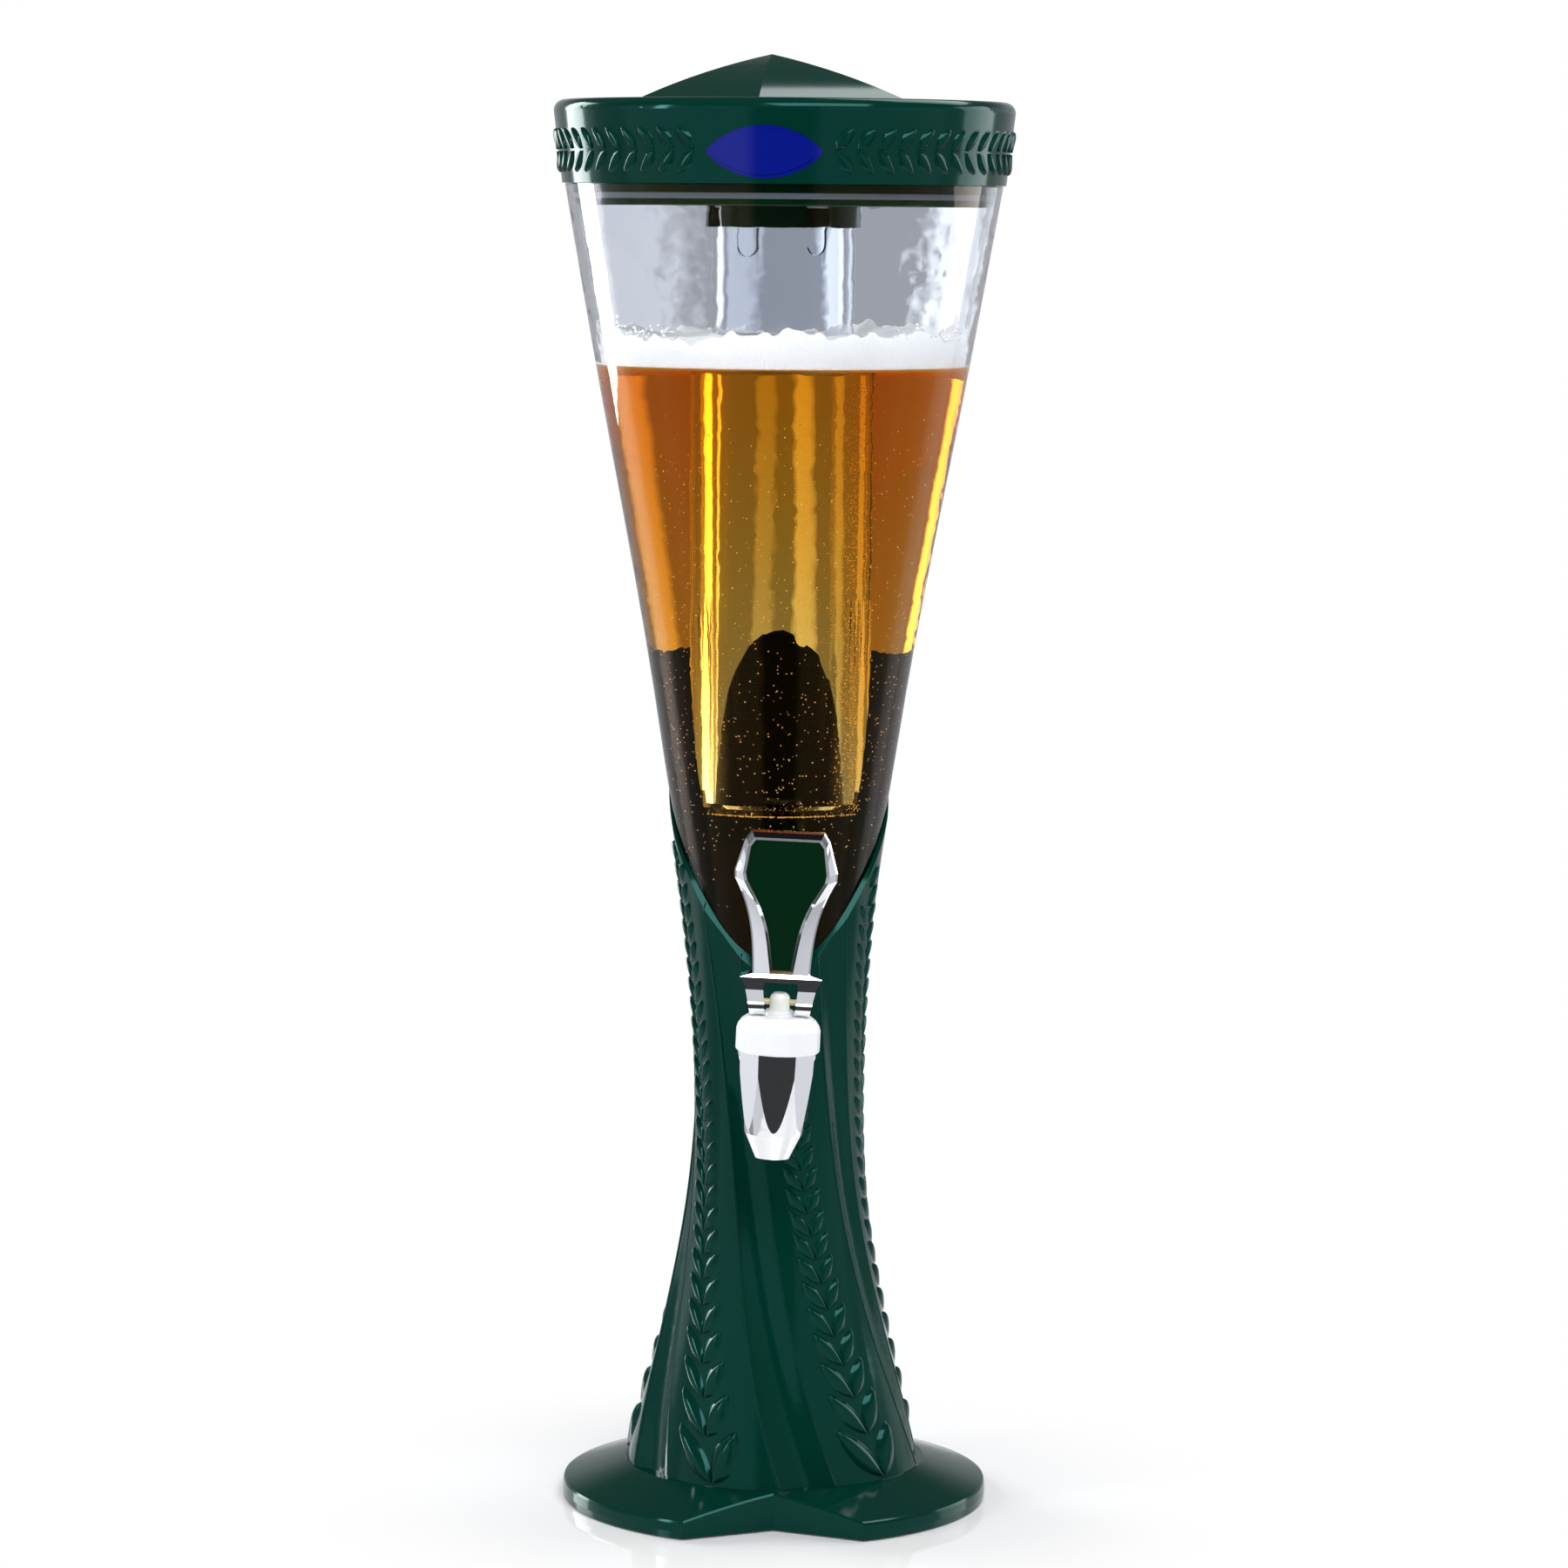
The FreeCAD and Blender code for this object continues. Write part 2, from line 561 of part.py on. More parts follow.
def lid_liner():
    top = RIM_Z + SEAT
    r_top = vessel_inner(top) - LINER_GAP
    r_low = vessel_inner(LINER_Z) - LINER_GAP
    gz0, gz1 = seal_groove()
    r_g0 = vessel_inner(gz0) - LINER_GAP
    r_g1 = vessel_inner(gz1) - LINER_GAP
    rim = LID_BOTTOM_R - LID_WALL - 0.3
    cup = ring_profile([(0, LINER_Z), (r_low - 0.6, LINER_Z), (r_low, LINER_Z + 0.6), (r_g0, gz0),
                        (r_g0 - SEAL_DEPTH, gz0), (r_g0 - SEAL_DEPTH, gz1), (r_g1, gz1), (r_top, top),
                        (rim, top), (rim, top + 2.0), (r_g0 - 4.2, top + 2.0),
                        (r_g0 - 4.2, LINER_Z + LINER_T), (0, LINER_Z + LINER_T)])
    hub = tube_solid(HUB_R, TUBE_R + 0.3, HUB_Z, LINER_Z)
    groove = tube_solid(HEAD_R + RUN + 0.2, TUBE_R + 0.2, HEAD_Z - HEAD_PLAY, HEAD_Z + HEAD_T + HEAD_PLAY)
    hub = hub.cut(groove)
    half = HUB_R * math.sin(math.radians(GAP_DEG / 2))
    for turn in LUG_TURNS:
        for shift in (0.0, 90.0):
            gap = Part.makeBox(2 * half, 12, LINER_Z - HUB_Z, V(-half, -HUB_R - 5, HUB_Z))
            gap.rotate(V(0, 0, 0), V(0, 0, 1), turn - BAYONET_TURN + shift)
            hub = hub.cut(gap)
    liner = cup.fuse(hub)
    for hole in rods(liner_spots(), LINER_SCREW[0] + HOLE, LINER_Z - 1, LINER_Z + 5):
        liner = liner.cut(hole)
    return liner.removeSplitter()


def liner_screws():
    return screws(liner_spots(), LINER_Z, LINER_Z + 13.0, LINER_SCREW)


def lid_seal():
    gz0, gz1 = seal_groove()
    z0 = gz0 + 0.1
    z1 = gz1 - 0.1
    inner = vessel_inner(z0) - LINER_GAP - SEAL_DEPTH + 0.05
    return ring_profile([(inner, z0), (vessel_inner(z0) - 0.08, z0),
                         (vessel_inner(z1) - 0.08, z1), (inner, z1)])


# ---- ice tube --------------------------------------------------------------

def ice_tube():
    low = TUBE_BOTTOM_Z
    r0 = TUBE_R - 0.5
    body = ring_profile([(0, low), (r0 - 3.0, low), (r0 - 0.9, low + 0.9), (r0, low + 3.0),
                         (TUBE_R, LUG_Z - 9), (TUBE_R, TUBE_TOP_Z), (TUBE_R - TUBE_WALL, TUBE_TOP_Z),
                         (TUBE_R - TUBE_WALL, LUG_Z - 9), (r0 - TUBE_WALL, low + 5.0),
                         (r0 - TUBE_WALL - 1.5, low + TUBE_WALL), (0, low + TUBE_WALL)])
    base = LUG_Z - 20
    core = Part.makeCylinder(TUBE_R - 1.0, 60, V(0, 0, base))
    half = LUG_W / 2.0
    front = -TUBE_R - 7.0
    for turn in LUG_TURNS:
        plate = Part.makeBox(LUG_W, 12, HUB_Z - SEAT - LUG_Z - half, V(-half, front, LUG_Z + half))
        nose = Part.makeCylinder(half, 12, V(0, front, LUG_Z + half), V(0, 1, 0))
        lug = plate.fuse(nose).common(Part.makeCylinder(LUG_R, 60, V(0, 0, base)))
        head = Part.makeBox(LUG_W, 12, HEAD_T, V(-half, front, HEAD_Z))
        head = head.common(Part.makeCylinder(HEAD_R, 60, V(0, 0, base)))
        both = lug.fuse(head).cut(core)
        both.rotate(V(0, 0, 0), V(0, 0, 1), turn)
        body = body.fuse(both)
    return body.removeSplitter()


def tube_gasket():
    z0 = TUBE_TOP_Z + 0.1
    return tube_solid(TUBE_R, TUBE_R - TUBE_WALL - 1.0, z0, z0 + TUBE_GASKET_T)


# ---- tap -------------------------------------------------------------------

def polygon_prism(sides, apothem0, apothem1, z0, z1):
    """Tapered prism with flat sides about the valve's axis, one flat to the front."""
    wires = []
    for apothem, z in ((apothem0, z0), (apothem1, z1)):
        r = apothem / math.cos(math.pi / sides)
        ring = []
        for k in range(sides):
            a = 2 * math.pi * (k + 0.5) / sides - math.pi / 2
            ring.append(V(r * math.cos(a), TAP_Y + r * math.sin(a), z))
        wires.append(Part.makePolygon(ring + ring[:1]))
    return Part.makeLoft(wires, True, True)


def on_valve(shape):
    shape.translate(V(0, TAP_Y, 0))
    return shape


def leant(shape):
    """A tap piece turned with the whole tap about the shank."""
    shape.rotate(V(0, 0, SHANK_Z), V(0, 1, 0), TAP_LEAN)
    return shape


def tap_facets():
    """Flats of the body: full at the top, run out at FACET_END_Z."""
    cone_top = SHANK_Z - 4
    share = (FACET_END_Z - BODY_LOW_Z) / (cone_top - BODY_LOW_Z)
    end = BODY_LOW_R + (BODY_R - BODY_LOW_R) * share
    full = BODY_R * math.cos(math.pi / FACETS)
    rise = (full - end) / (BODY_TOP_Z - FACET_END_Z)
    low = end - rise * (FACET_END_Z - TIP_Z)
    return polygon_prism(FACETS, low, full, TIP_Z, BODY_TOP_Z)


def tap_body():
    seat_y = PAD_Y - WASHER_T
    cup = on_valve(ring_profile([(0, TIP_Z), (TIP_R, TIP_Z), (BODY_LOW_R, BODY_LOW_Z),
                                 (BODY_R, SHANK_Z - 4), (BODY_R, BODY_TOP_Z), (0, BODY_TOP_Z)]))
    cup = cup.common(tap_facets())
    collar = Part.makeCylinder(COLLAR_R, COLLAR_TOP_Z - BODY_TOP_Z, V(0, TAP_Y, BODY_TOP_Z))
    neck = rod_y(NECK_R, TAP_Y, seat_y - FLANGE_T, SHANK_Z)
    neck = neck.common(Part.makeBox(60, 80, 40, V(-30, TAP_Y - 20, BODY_TOP_Z - 40)))
    flange = rod_y(FLANGE_R, seat_y - FLANGE_T, seat_y, SHANK_Z)
    rim = [e for e in flange.Edges if e.BoundBox.YMax < seat_y - FLANGE_T + 0.01]
    flange = flange.makeFillet(1.2, rim)
    shank = rod_y(SHANK_R, seat_y - 0.5, INNER_PAD_Y + WASHER_T + NUT_T + 2.0, SHANK_Z)
    body = cup.fuse([collar, neck, flange, shank])
    body = body.cut(Part.makeCylinder(CHAMBER_R, 40, V(0, TAP_Y, SEAT_Z - 1.5)))
    body = body.fuse(tube_solid(OUTLET_R + 1.2, OUTLET_R, SEAT_Z - 2.5, SEAT_Z, TAP_Y))
    body = body.cut(Part.makeCylinder(OUTLET_R, 60, V(0, TAP_Y, TIP_Z - 1)))
    body = body.cut(rod_y(SHANK_BORE, TAP_Y, 0, SHANK_Z))
    return body.removeSplitter()


def washer(radius, y0):
    """Flat ring on the shank."""
    return rod_y(radius, y0, y0 + WASHER_T, SHANK_Z).cut(
        rod_y(SHANK_R + RUN, y0, y0 + WASHER_T, SHANK_Z))


def shank_nut():
    y0 = INNER_PAD_Y + WASHER_T
    r = NUT_AF / 2.0 / math.cos(math.pi / 6)
    corners = [V(r * math.cos(math.radians(60 * k)), y0, SHANK_Z + r * math.sin(math.radians(60 * k)))
               for k in range(6)]
    nut = Part.Face(Part.makePolygon(corners + corners[:1])).extrude(V(0, NUT_T, 0))
    return nut.cut(rod_y(SHANK_R + THREAD, y0, y0 + NUT_T, SHANK_Z))


def tap_bonnet():
    low = BODY_TOP_Z + 0.2
    inner = COLLAR_R + THREAD
    clamp = COLLAR_TOP_Z + SEAL_T + 0.1
    roof_z = COLLAR_TOP_Z + 4.0
    lip = BONNET_TOP_Z + 2.2
    nut = on_valve(ring_profile([(inner, low), (BONNET_R - 0.6, low), (BONNET_R, low + 0.8),
                                 (BONNET_R, BONNET_TOP_Z - 7.0), (BONNET_R - 0.7, BONNET_TOP_Z - 4.9),
                                 (BONNET_R - 2.4, BONNET_TOP_Z - 2.5), (BONNET_R - 5.2, BONNET_TOP_Z - 0.5),
                                 (BONNET_R - 7.4, BONNET_TOP_Z), (STEM_R + 2.0, BONNET_TOP_Z),
                                 (STEM_R + 1.6, lip), (STEM_R + RUN, lip), (STEM_R + RUN, roof_z),
                                 (COLLAR_R - 4.0, roof_z), (COLLAR_R - 4.0, clamp), (inner, clamp)]))
    return nut.common(polygon_prism(14, BONNET_R - 0.25, BONNET_R - 0.25, low - 1, lip + 1))


def stem_seal():
    """Silicone diaphragm clamped between the body and the bonnet."""
    z0 = COLLAR_TOP_Z + 0.05
    z1 = z0 + SEAL_T
    bore = STEM_NECK_R + RUN
    return on_valve(ring_profile([(bore, z0 - 3.0), (CHAMBER_R - RUN, z0 - 3.0), (CHAMBER_R - RUN, z0),
                                  (COLLAR_R - 2.0, z0), (COLLAR_R - 2.0, z1), (bore, z1)]))


def tap_stem():
    """Stem from the cup to the domed head."""
    neck = STEM_NECK_R
    cup_z = SEAT_Z + 3.6
    grip_z = cup_z + 2.4
    head_z = COLLAR_TOP_Z + 4.6
    stem = on_valve(ring_profile([(0, cup_z), (neck - 0.9, cup_z), (neck - 0.9, grip_z), (neck, grip_z),
                                  (neck, head_z), (STEM_R, head_z), (STEM_R, PIN_Z + 2.2),
                                  (STEM_R - 0.5, PIN_Z + 3.4), (STEM_R - 1.8, PIN_Z + 4.6),
                                  (0, PIN_Z + 4.9)]))
    return stem.cut(Part.makeCylinder(PIN_R + RUN, 20, V(-10, TAP_Y, PIN_Z), V(1, 0, 0)))


def seat_cup():
    neck = STEM_NECK_R
    top = SEAT_Z + 6.0
    floor = SEAT_Z + 3.5
    return on_valve(ring_profile([(0, SEAT_Z), (CHAMBER_R - 1.6, SEAT_Z), (CHAMBER_R - 1.0, SEAT_Z + 1.0),
                                  (neck + 1.6, SEAT_Z + 4.4), (neck + 1.6, top), (neck - 0.8, top),
                                  (neck - 0.8, floor), (0, floor)]))


def mirrored(points):
    return points + [(-x, z) for x, z in reversed(points)]


def grown(half, grow):
    """Half outline (x, z) of a symmetric plate, moved outwards all round."""
    ring = mirrored(half)
    made = []
    for k in range(len(half)):
        (x0, z0), (x1, z1), (x2, z2) = ring[k - 1], ring[k], ring[(k + 1) % len(ring)]
        before = math.hypot(x1 - x0, z1 - z0)
        after = math.hypot(x2 - x1, z2 - z1)
        nx0, nz0 = (z1 - z0) / before, (x0 - x1) / before
        nx1, nz1 = (z2 - z1) / after, (x1 - x2) / after
        share = grow / (1 + nx0 * nx1 + nz0 * nz1)
        made.append((x1 + (nx0 + nx1) * share, z1 + (nz0 + nz1) * share))
    return made


def handle_wire(side, top, grow, y):
    """Closed outline of the handle: curved sides, straight shoulders and top."""
    half = grown(side + top, grow)
    right = [V(x, y, HANDLE_LOW_Z + z) for x, z in half]
    left = [V(-x, y, HANDLE_LOW_Z + z) for x, z in half]
    n = len(side)
    edges = [Part.makeLine(left[0], right[0]), curve(right[:n])]
    edges += [Part.makeLine(right[k], right[k + 1]) for k in range(n - 1, len(half) - 1)]
    edges += [Part.makeLine(right[-1], left[-1])]
    edges += [Part.makeLine(left[k + 1], left[k]) for k in range(len(half) - 2, n - 2, -1)]
    edges += [curve(left[:n][::-1])]
    return Part.Wire(edges)


def handle_plate():
    """Plate with a narrow edge and a border that slopes up to the insert's pocket."""
    y0 = TAP_Y - HANDLE_T / 2.0
    y1 = TAP_Y + HANDLE_T / 2.0
    outlines = [handle_wire(INSERT_SIDE, INSERT_TOP, POCKET_BEVEL, y0),
                handle_wire(PLATE_SIDE, PLATE_TOP, -0.8, y0 + 2.0),
                handle_wire(PLATE_SIDE, PLATE_TOP, 0, y0 + 3.0),
                handle_wire(PLATE_SIDE, PLATE_TOP, 0, y1 - 1.2),
                handle_wire(PLATE_SIDE, PLATE_TOP, -1.2, y1)]
    plate = Part.makeLoft(outlines, True, True)
    slope = Part.makeLoft([handle_wire(INSERT_SIDE, INSERT_TOP, POCKET_BEVEL, y0),
                           handle_wire(INSERT_SIDE, INSERT_TOP, INSERT_GAP, y0 + POCKET_D)], True, True)
    room = Part.Face(handle_wire(INSERT_SIDE, INSERT_TOP, INSERT_GAP, y0 + POCKET_D))
    return plate.cut(slope).cut(room.extrude(V(0, INSERT_T, 0)))


def handle_crown():
    """Flared collar and the two cam legs: front view cut by the side view."""
    front = [(14.0, 14.3), (CROWN_OUT, 12.7), (LEG_OUT + 3.2, 8.0), (LEG_OUT + 2.0, 3.0),
             (LEG_OUT, -6.5), (LEG_IN, -6.5), (LEG_IN + 1.6, 8.4), (LEG_IN + 0.8, 10.2)]
    corners = [V(x, TAP_Y - 12, PIN_Z + z) for x, z in mirrored(front)]
    crown = Part.Face(Part.makePolygon(corners + corners[:1])).extrude(V(0, 24, 0))
    a = math.radians(CAM_START)
    cam_y = -CAM_E * math.sin(a)
    cam_z = -CAM_E * math.cos(a)
    cam_r = PIN_Z - BONNET_TOP_Z + cam_z - CAM_REST
    side = [(-4.6, 17.5), (4.6, 17.5), (5.6, 12.5), (4.6, -0.5), (3.0, -3.3), (-4.6, -5.7),
            (cam_y - cam_r * 0.98, cam_z + 0.6), (-7.4, 6.5), (-7.4, 12.5)]
    corners = [V(-25, TAP_Y + y, PIN_Z + z) for y, z in side]
    blade = Part.Face(Part.makePolygon(corners + corners[:1])).extrude(V(50, 0, 0))
    lobe = Part.makeCylinder(cam_r, 50, V(-25, TAP_Y + cam_y, PIN_Z + cam_z), V(1, 0, 0))
    return crown.common(blade.fuse(lobe))


def tap_handle():
    handle = handle_plate().fuse(handle_crown())
    half = LEG_OUT + 5.0
    hole = Part.makeCylinder(PIN_R + RUN, 2 * half, V(-half, TAP_Y, PIN_Z), V(1, 0, 0))
    return handle.cut(hole).removeSplitter()


def handle_insert():
    wire = handle_wire(INSERT_SIDE, INSERT_TOP, 0, TAP_Y - HANDLE_T / 2.0 + POCKET_D)
    return Part.Face(wire).extrude(V(0, INSERT_T, 0))


def pivot_pin():
    half = LEG_OUT + 1.2
    return Part.makeCylinder(PIN_R, 2 * half, V(-half, TAP_Y, PIN_Z), V(1, 0, 0))


save("base_plate", base_plate())
save("bottom_cover", bottom_cover())
save("cover_screws", cover_screws())
save("rubber_feet", rubber_feet())
save("column_shell", column_shell())
save("column_screws", column_screws())
save("beer_vessel", beer_vessel())
save("vessel_screws", vessel_screws())
save("lid_shell", lid_shell())
save("lid_badge", lid_badge())
save("lid_liner", lid_liner())
save("liner_screws", liner_screws())
save("lid_seal", lid_seal())
save("ice_tube", ice_tube())
save("tube_gasket", tube_gasket())
save("tap_body", leant(tap_body()))
save("outer_washer", leant(washer(FLANGE_R - 1.0, PAD_Y - WASHER_T)))
save("inner_washer", leant(washer(INNER_WASHER_R, INNER_PAD_Y)))
save("shank_nut", leant(shank_nut()))
save("tap_bonnet", leant(tap_bonnet()))
save("stem_seal", leant(stem_seal()))
save("tap_stem", leant(tap_stem()))
save("seat_cup", leant(seat_cup()))
save("tap_handle", leant(tap_handle()))
save("handle_insert", leant(handle_insert()))
save("pivot_pin", leant(pivot_pin()))
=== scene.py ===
import math
import random

import bpy
from mathutils import Matrix, Vector
from mathutils.bvhtree import BVHTree


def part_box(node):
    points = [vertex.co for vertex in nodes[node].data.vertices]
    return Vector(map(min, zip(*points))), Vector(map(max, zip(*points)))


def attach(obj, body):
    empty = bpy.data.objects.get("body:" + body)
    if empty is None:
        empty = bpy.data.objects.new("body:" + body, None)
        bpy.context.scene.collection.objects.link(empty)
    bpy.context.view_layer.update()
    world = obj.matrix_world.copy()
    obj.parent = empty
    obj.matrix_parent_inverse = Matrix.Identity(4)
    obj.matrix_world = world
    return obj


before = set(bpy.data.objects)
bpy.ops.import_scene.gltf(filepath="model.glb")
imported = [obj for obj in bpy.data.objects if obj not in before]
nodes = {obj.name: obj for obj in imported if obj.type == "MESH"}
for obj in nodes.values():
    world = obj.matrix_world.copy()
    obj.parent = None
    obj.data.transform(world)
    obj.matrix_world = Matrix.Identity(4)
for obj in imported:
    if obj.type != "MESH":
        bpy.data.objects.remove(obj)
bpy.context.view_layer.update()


# ---- base plate -------------------------------------------------------------
# Round foot with a shallow cone on top and a V notch at the front, hollow below. It is
# injection moulded in dark green ABS and carries the column.

MM = 0.001  # metres; lengths are in mm unless a comment says otherwise


def linear(code):
    """sRGB hex to the linear colour that shaders use."""
    parts = [int(code[k:k + 2], 16) / 255 for k in (0, 2, 4)]
    return [v / 12.92 if v <= 0.04045 else ((v + 0.055) / 1.055) ** 2.4 for v in parts] + [1.0]


def node(tree, kind, settings, links=()):
    """Adds a shader node, sets its sockets or properties, and links the rest."""
    made = tree.nodes.new(kind)
    for name, value in settings.items():
        if isinstance(name, int) or name in made.inputs:
            made.inputs[name].default_value = value
        else:
            setattr(made, name, value)
    for name, socket in links:
        tree.links.new(socket, made.inputs[name])
    return made


def new_finish(name):
    """Empty material, its node tree and its output node."""
    finish = bpy.data.materials.new(name)
    finish.use_nodes = True
    finish.node_tree.nodes.clear()
    return finish, finish.node_tree, finish.node_tree.nodes.new("ShaderNodeOutputMaterial")


def opaque_finish(name, settings, grain=None):
    """Material of one opaque surface. grain is the depth and width of its unevenness."""
    finish, tree, out = new_finish(name)
    links = []
    if grain:
        deep, wide = grain
        place = node(tree, "ShaderNodeTexCoord", {})
        noise = node(tree, "ShaderNodeTexNoise", {"Scale": 1.0 / (wide * MM), "Detail": 2.0},
                     [("Vector", place.outputs["Object"])])
        bump = node(tree, "ShaderNodeBump", {"Distance": deep * MM, "Strength": 1.0},
                    [("Height", noise.outputs["Fac"])])
        links = [("Normal", bump.outputs["Normal"])]
    face = node(tree, "ShaderNodeBsdfPrincipled", settings, links)
    tree.links.new(face.outputs[0], out.inputs["Surface"])
    return finish


def dress(names, finish):
    """Gives CAD nodes one material."""
    for name in names:
        mesh = nodes[name].data
        mesh.materials.clear()
        mesh.materials.append(finish)


# A polished mould gives a deep gloss that is only faintly wavy. The tint takes the grey
# off head-on reflections and keeps the green deep.
green_abs = opaque_finish("green ABS, glossy moulding", {
    "Base Color": linear("022e25"), "Roughness": 0.11, "IOR": 1.5,
    "Specular IOR Level": 0.22, "Specular Tint": linear("95f3ed")}, grain=(0.015, 12.0))
dress(["base_plate"], green_abs)


# ---- bottom cover -----------------------------------------------------------
# Black ABS plate that closes the base from below and has sockets for the feet. It is
# injection moulded, and short screws hold it.

# A spark eroded mould gives a matt grain. It is drawn coarser than it is, to show.
black_abs = opaque_finish("black ABS, fine spark grain", {
    "Base Color": linear("161616"), "Roughness": 0.5}, grain=(0.04, 0.8))
dress(["bottom_cover"], black_abs)


# ---- rubber feet ------------------------------------------------------------
# Round pads on which the tower stands. They are moulded in black rubber and set in the
# cover's sockets.

# Dull and without highlights.
black_rubber = opaque_finish("black rubber, matt", {
    "Base Color": linear("141414"), "Roughness": 0.8})
dress(["rubber_feet"], black_rubber)


# ---- screws of the base and the column --------------------------------------
# Pan head screws of zinc plated steel, driven from below: short ones hold the cover,
# longer ones go through the base plate into the column's foot.

# Plating that is bright but not polished blurs what it reflects.
zinc_steel = opaque_finish("zinc plated steel", {
    "Base Color": linear("b4b4b0"), "Metallic": 1.0, "Roughness": 0.3})
dress(["cover_screws", "column_screws"], zinc_steel)


# ---- column shell -----------------------------------------------------------
# Hollow column with five twisted ridges and a flute beside each, cut open by a slanting
# window at its top. It is moulded in the same green ABS as the base plate.

dress(["column_shell"], green_abs)


# ---- column leaves ----------------------------------------------------------
# Five ears of raised leaves, moulded with the column, one on the field between each
# flute and the next ridge. They get smaller and closer towards the top.

RIDGES = 5
RIDGE_PITCH = 360 / RIDGES
RAY_START_R = 200.0  # rays towards the axis start outside the widest part
NEAREST_R = 35.0     # a hit nearer to the axis isn't on the column's outside
TWIST_Z = 20.0       # foot of the ridges
TWIST = (2.0, -0.24, 0.0002)  # degrees: turn of the first ridge there, per mm, per square mm


def along(turn, radius, z):
    """Point at a turn in radians from the front, towards the right."""
    return Vector((radius * math.sin(turn), -radius * math.cos(turn), z))


def surface_of(name):
    """Search tree of a CAD node's faces."""
    mesh = nodes[name].data
    return BVHTree.FromPolygons([v.co for v in mesh.vertices], [p.vertices for p in mesh.polygons])


column_surface = surface_of("column_shell")


def column_radius(turn, z):
    """Outside radius of the column in metres, or None above the window cut."""
    way = along(turn, 1.0, 0.0)
    hit = column_surface.ray_cast(along(turn, RAY_START_R * MM, z), -way)[0]
    if hit is None or hit.dot(way) < NEAREST_R * MM:
        return None
    return hit.dot(way)


def ridge_turn(z):
    """Turn of the first ridge in degrees at a height."""
    h = z - TWIST_Z
    return TWIST[0] + TWIST[1] * h + TWIST[2] * h * h


SHARP_ANGLE = 38.0  # degrees between faces from which an edge stays sharp
LEAF_ROWS = 12
LEAF_COLS = 8
LEAF_SINK = 0.15    # a leaf's rim lies this far under the surface
LEAF_POINT = 0.001  # half the width of its pointed ends
EAR_LOW_Z = 21.5
EAR_HIGH_Z = 440.0
EAR_TURN = 46.0     # degrees from a ridge to the middle of the field after it
EAR_LEAN = 35.0     # degrees that its leaves lean to the side
TOP_SPACING = 9.5   # height from a pair of leaves to the next, at the top,
MORE_BELOW = 11.5   # and how much more it is near the foot,
MORE_Z = 25.0       # at this height,
MORE_FADE = 60.0    # from which it fades to a third over this height
EAR_LEAF = 1.42     # length of a leaf, as a share of that spacing
EAR_HALF = 0.3      # half its width, as such a share
EAR_ASIDE = 0.03    # its foot from the ear's middle, as such a share
EAR_RAISE = (0.9, 0.15)  # its height: a fixed part, and such a share


def mesh_piece(name, points, faces, finish):
    """New smooth mesh object with one material."""
    mesh = bpy.data.meshes.new(name)
    mesh.from_pydata(points, [], faces)
    mesh.materials.append(finish)
    mesh.shade_smooth()
    mesh.set_sharp_from_angle(angle=math.radians(SHARP_ANGLE))
    piece = bpy.data.objects.new(name, mesh)
    bpy.context.scene.collection.objects.link(piece)
    return piece


def leaf(points, faces, place, lean, length, half_width, height):
    """Adds a domed leaf, widest near its middle and highest two thirds along, with a point.

    place maps (across, up, height) to a point.
    """
    first = len(points)
    for i in range(LEAF_ROWS + 1):
        u = i / LEAF_ROWS
        half = half_width * max(math.sin(math.pi * u ** 0.85), 0.0) ** 0.8 + LEAF_POINT * MM
        crest = height * (0.5 + 0.5 * u) * math.sqrt(1.0 - u ** 5)
        for j in range(LEAF_COLS + 1):
            v = 2 * j / LEAF_COLS - 1
            across = half * v
            x = length * u * math.sin(lean) + across * math.cos(lean)
            y = length * u * math.cos(lean) - across * math.sin(lean)
            point = place(x, y, crest * (1.0 - v ** 2) - LEAF_SINK * MM)
            if point is None:
                del points[first:]
                return
            points.append(point)
    for i in range(LEAF_ROWS):
        for j in range(LEAF_COLS):
            a = first + i * (LEAF_COLS + 1) + j
            faces.append((a, a + 1, a + LEAF_COLS + 2, a + LEAF_COLS + 1))


def leaf_spacing(z):
    """Height from a pair of leaves to the next: 21.7 at the foot, 9.5 at the top."""
    return TOP_SPACING + MORE_BELOW * math.exp(-(z - MORE_Z) / MORE_FADE)


def on_column(z, middle, radius, aside):
    """Map for a leaf that starts at height z, aside from the middle of an ear."""
    twist = math.radians(ridge_turn(z + 1) - ridge_turn(z)) * radius / MM

    def place(x, y, h):
        turn = middle + (x + aside + y * twist) / radius
        r = column_radius(turn, z * MM + y)
        return None if r is None else along(turn, r + h, z * MM + y)

    return place


points = []
faces = []
for ear in range(RIDGES):
    z = EAR_LOW_Z
    while z < EAR_HIGH_Z:
        step = leaf_spacing(z)
        middle = math.radians(ridge_turn(z) + RIDGE_PITCH * ear + EAR_TURN)
        radius = column_radius(middle, z * MM)
        if radius is None:
            break
        for side in (-1, 1):
            place = on_column(z, middle, radius, side * EAR_ASIDE * step * MM)
            leaf(points, faces, place, side * math.radians(EAR_LEAN),
                 step * EAR_LEAF * MM, step * EAR_HALF * MM,
                 (EAR_RAISE[0] + EAR_RAISE[1] * step) * MM)
        z += step

column_leaves = mesh_piece("column_leaves", points, faces, green_abs)
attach(column_leaves, "tower")


# ---- column beads -----------------------------------------------------------
# Thin rounded beads along the ridges and along the far side of each flute. They are
# moulded with the column, catch the light, and thin out beside the window.

BEADS = ((0.0, 1.0), (23.0, 0.7))  # degrees after a ridge, and the bead's radius
BEAD_SIDES = 10
BEAD_LOW_Z = 20.5
BEAD_HIGH_Z = 450.0
BEAD_STEP = 3.0
BEAD_SINK = 0.55                   # share of its radius that lies under the surface
BEAD_THIN_Z = 330.0                # it has thinned out by this height,
BEAD_THIN_H = 60.0                 # from full size this far below
BEAD_LEAST = 0.1                   # to this share of its radius

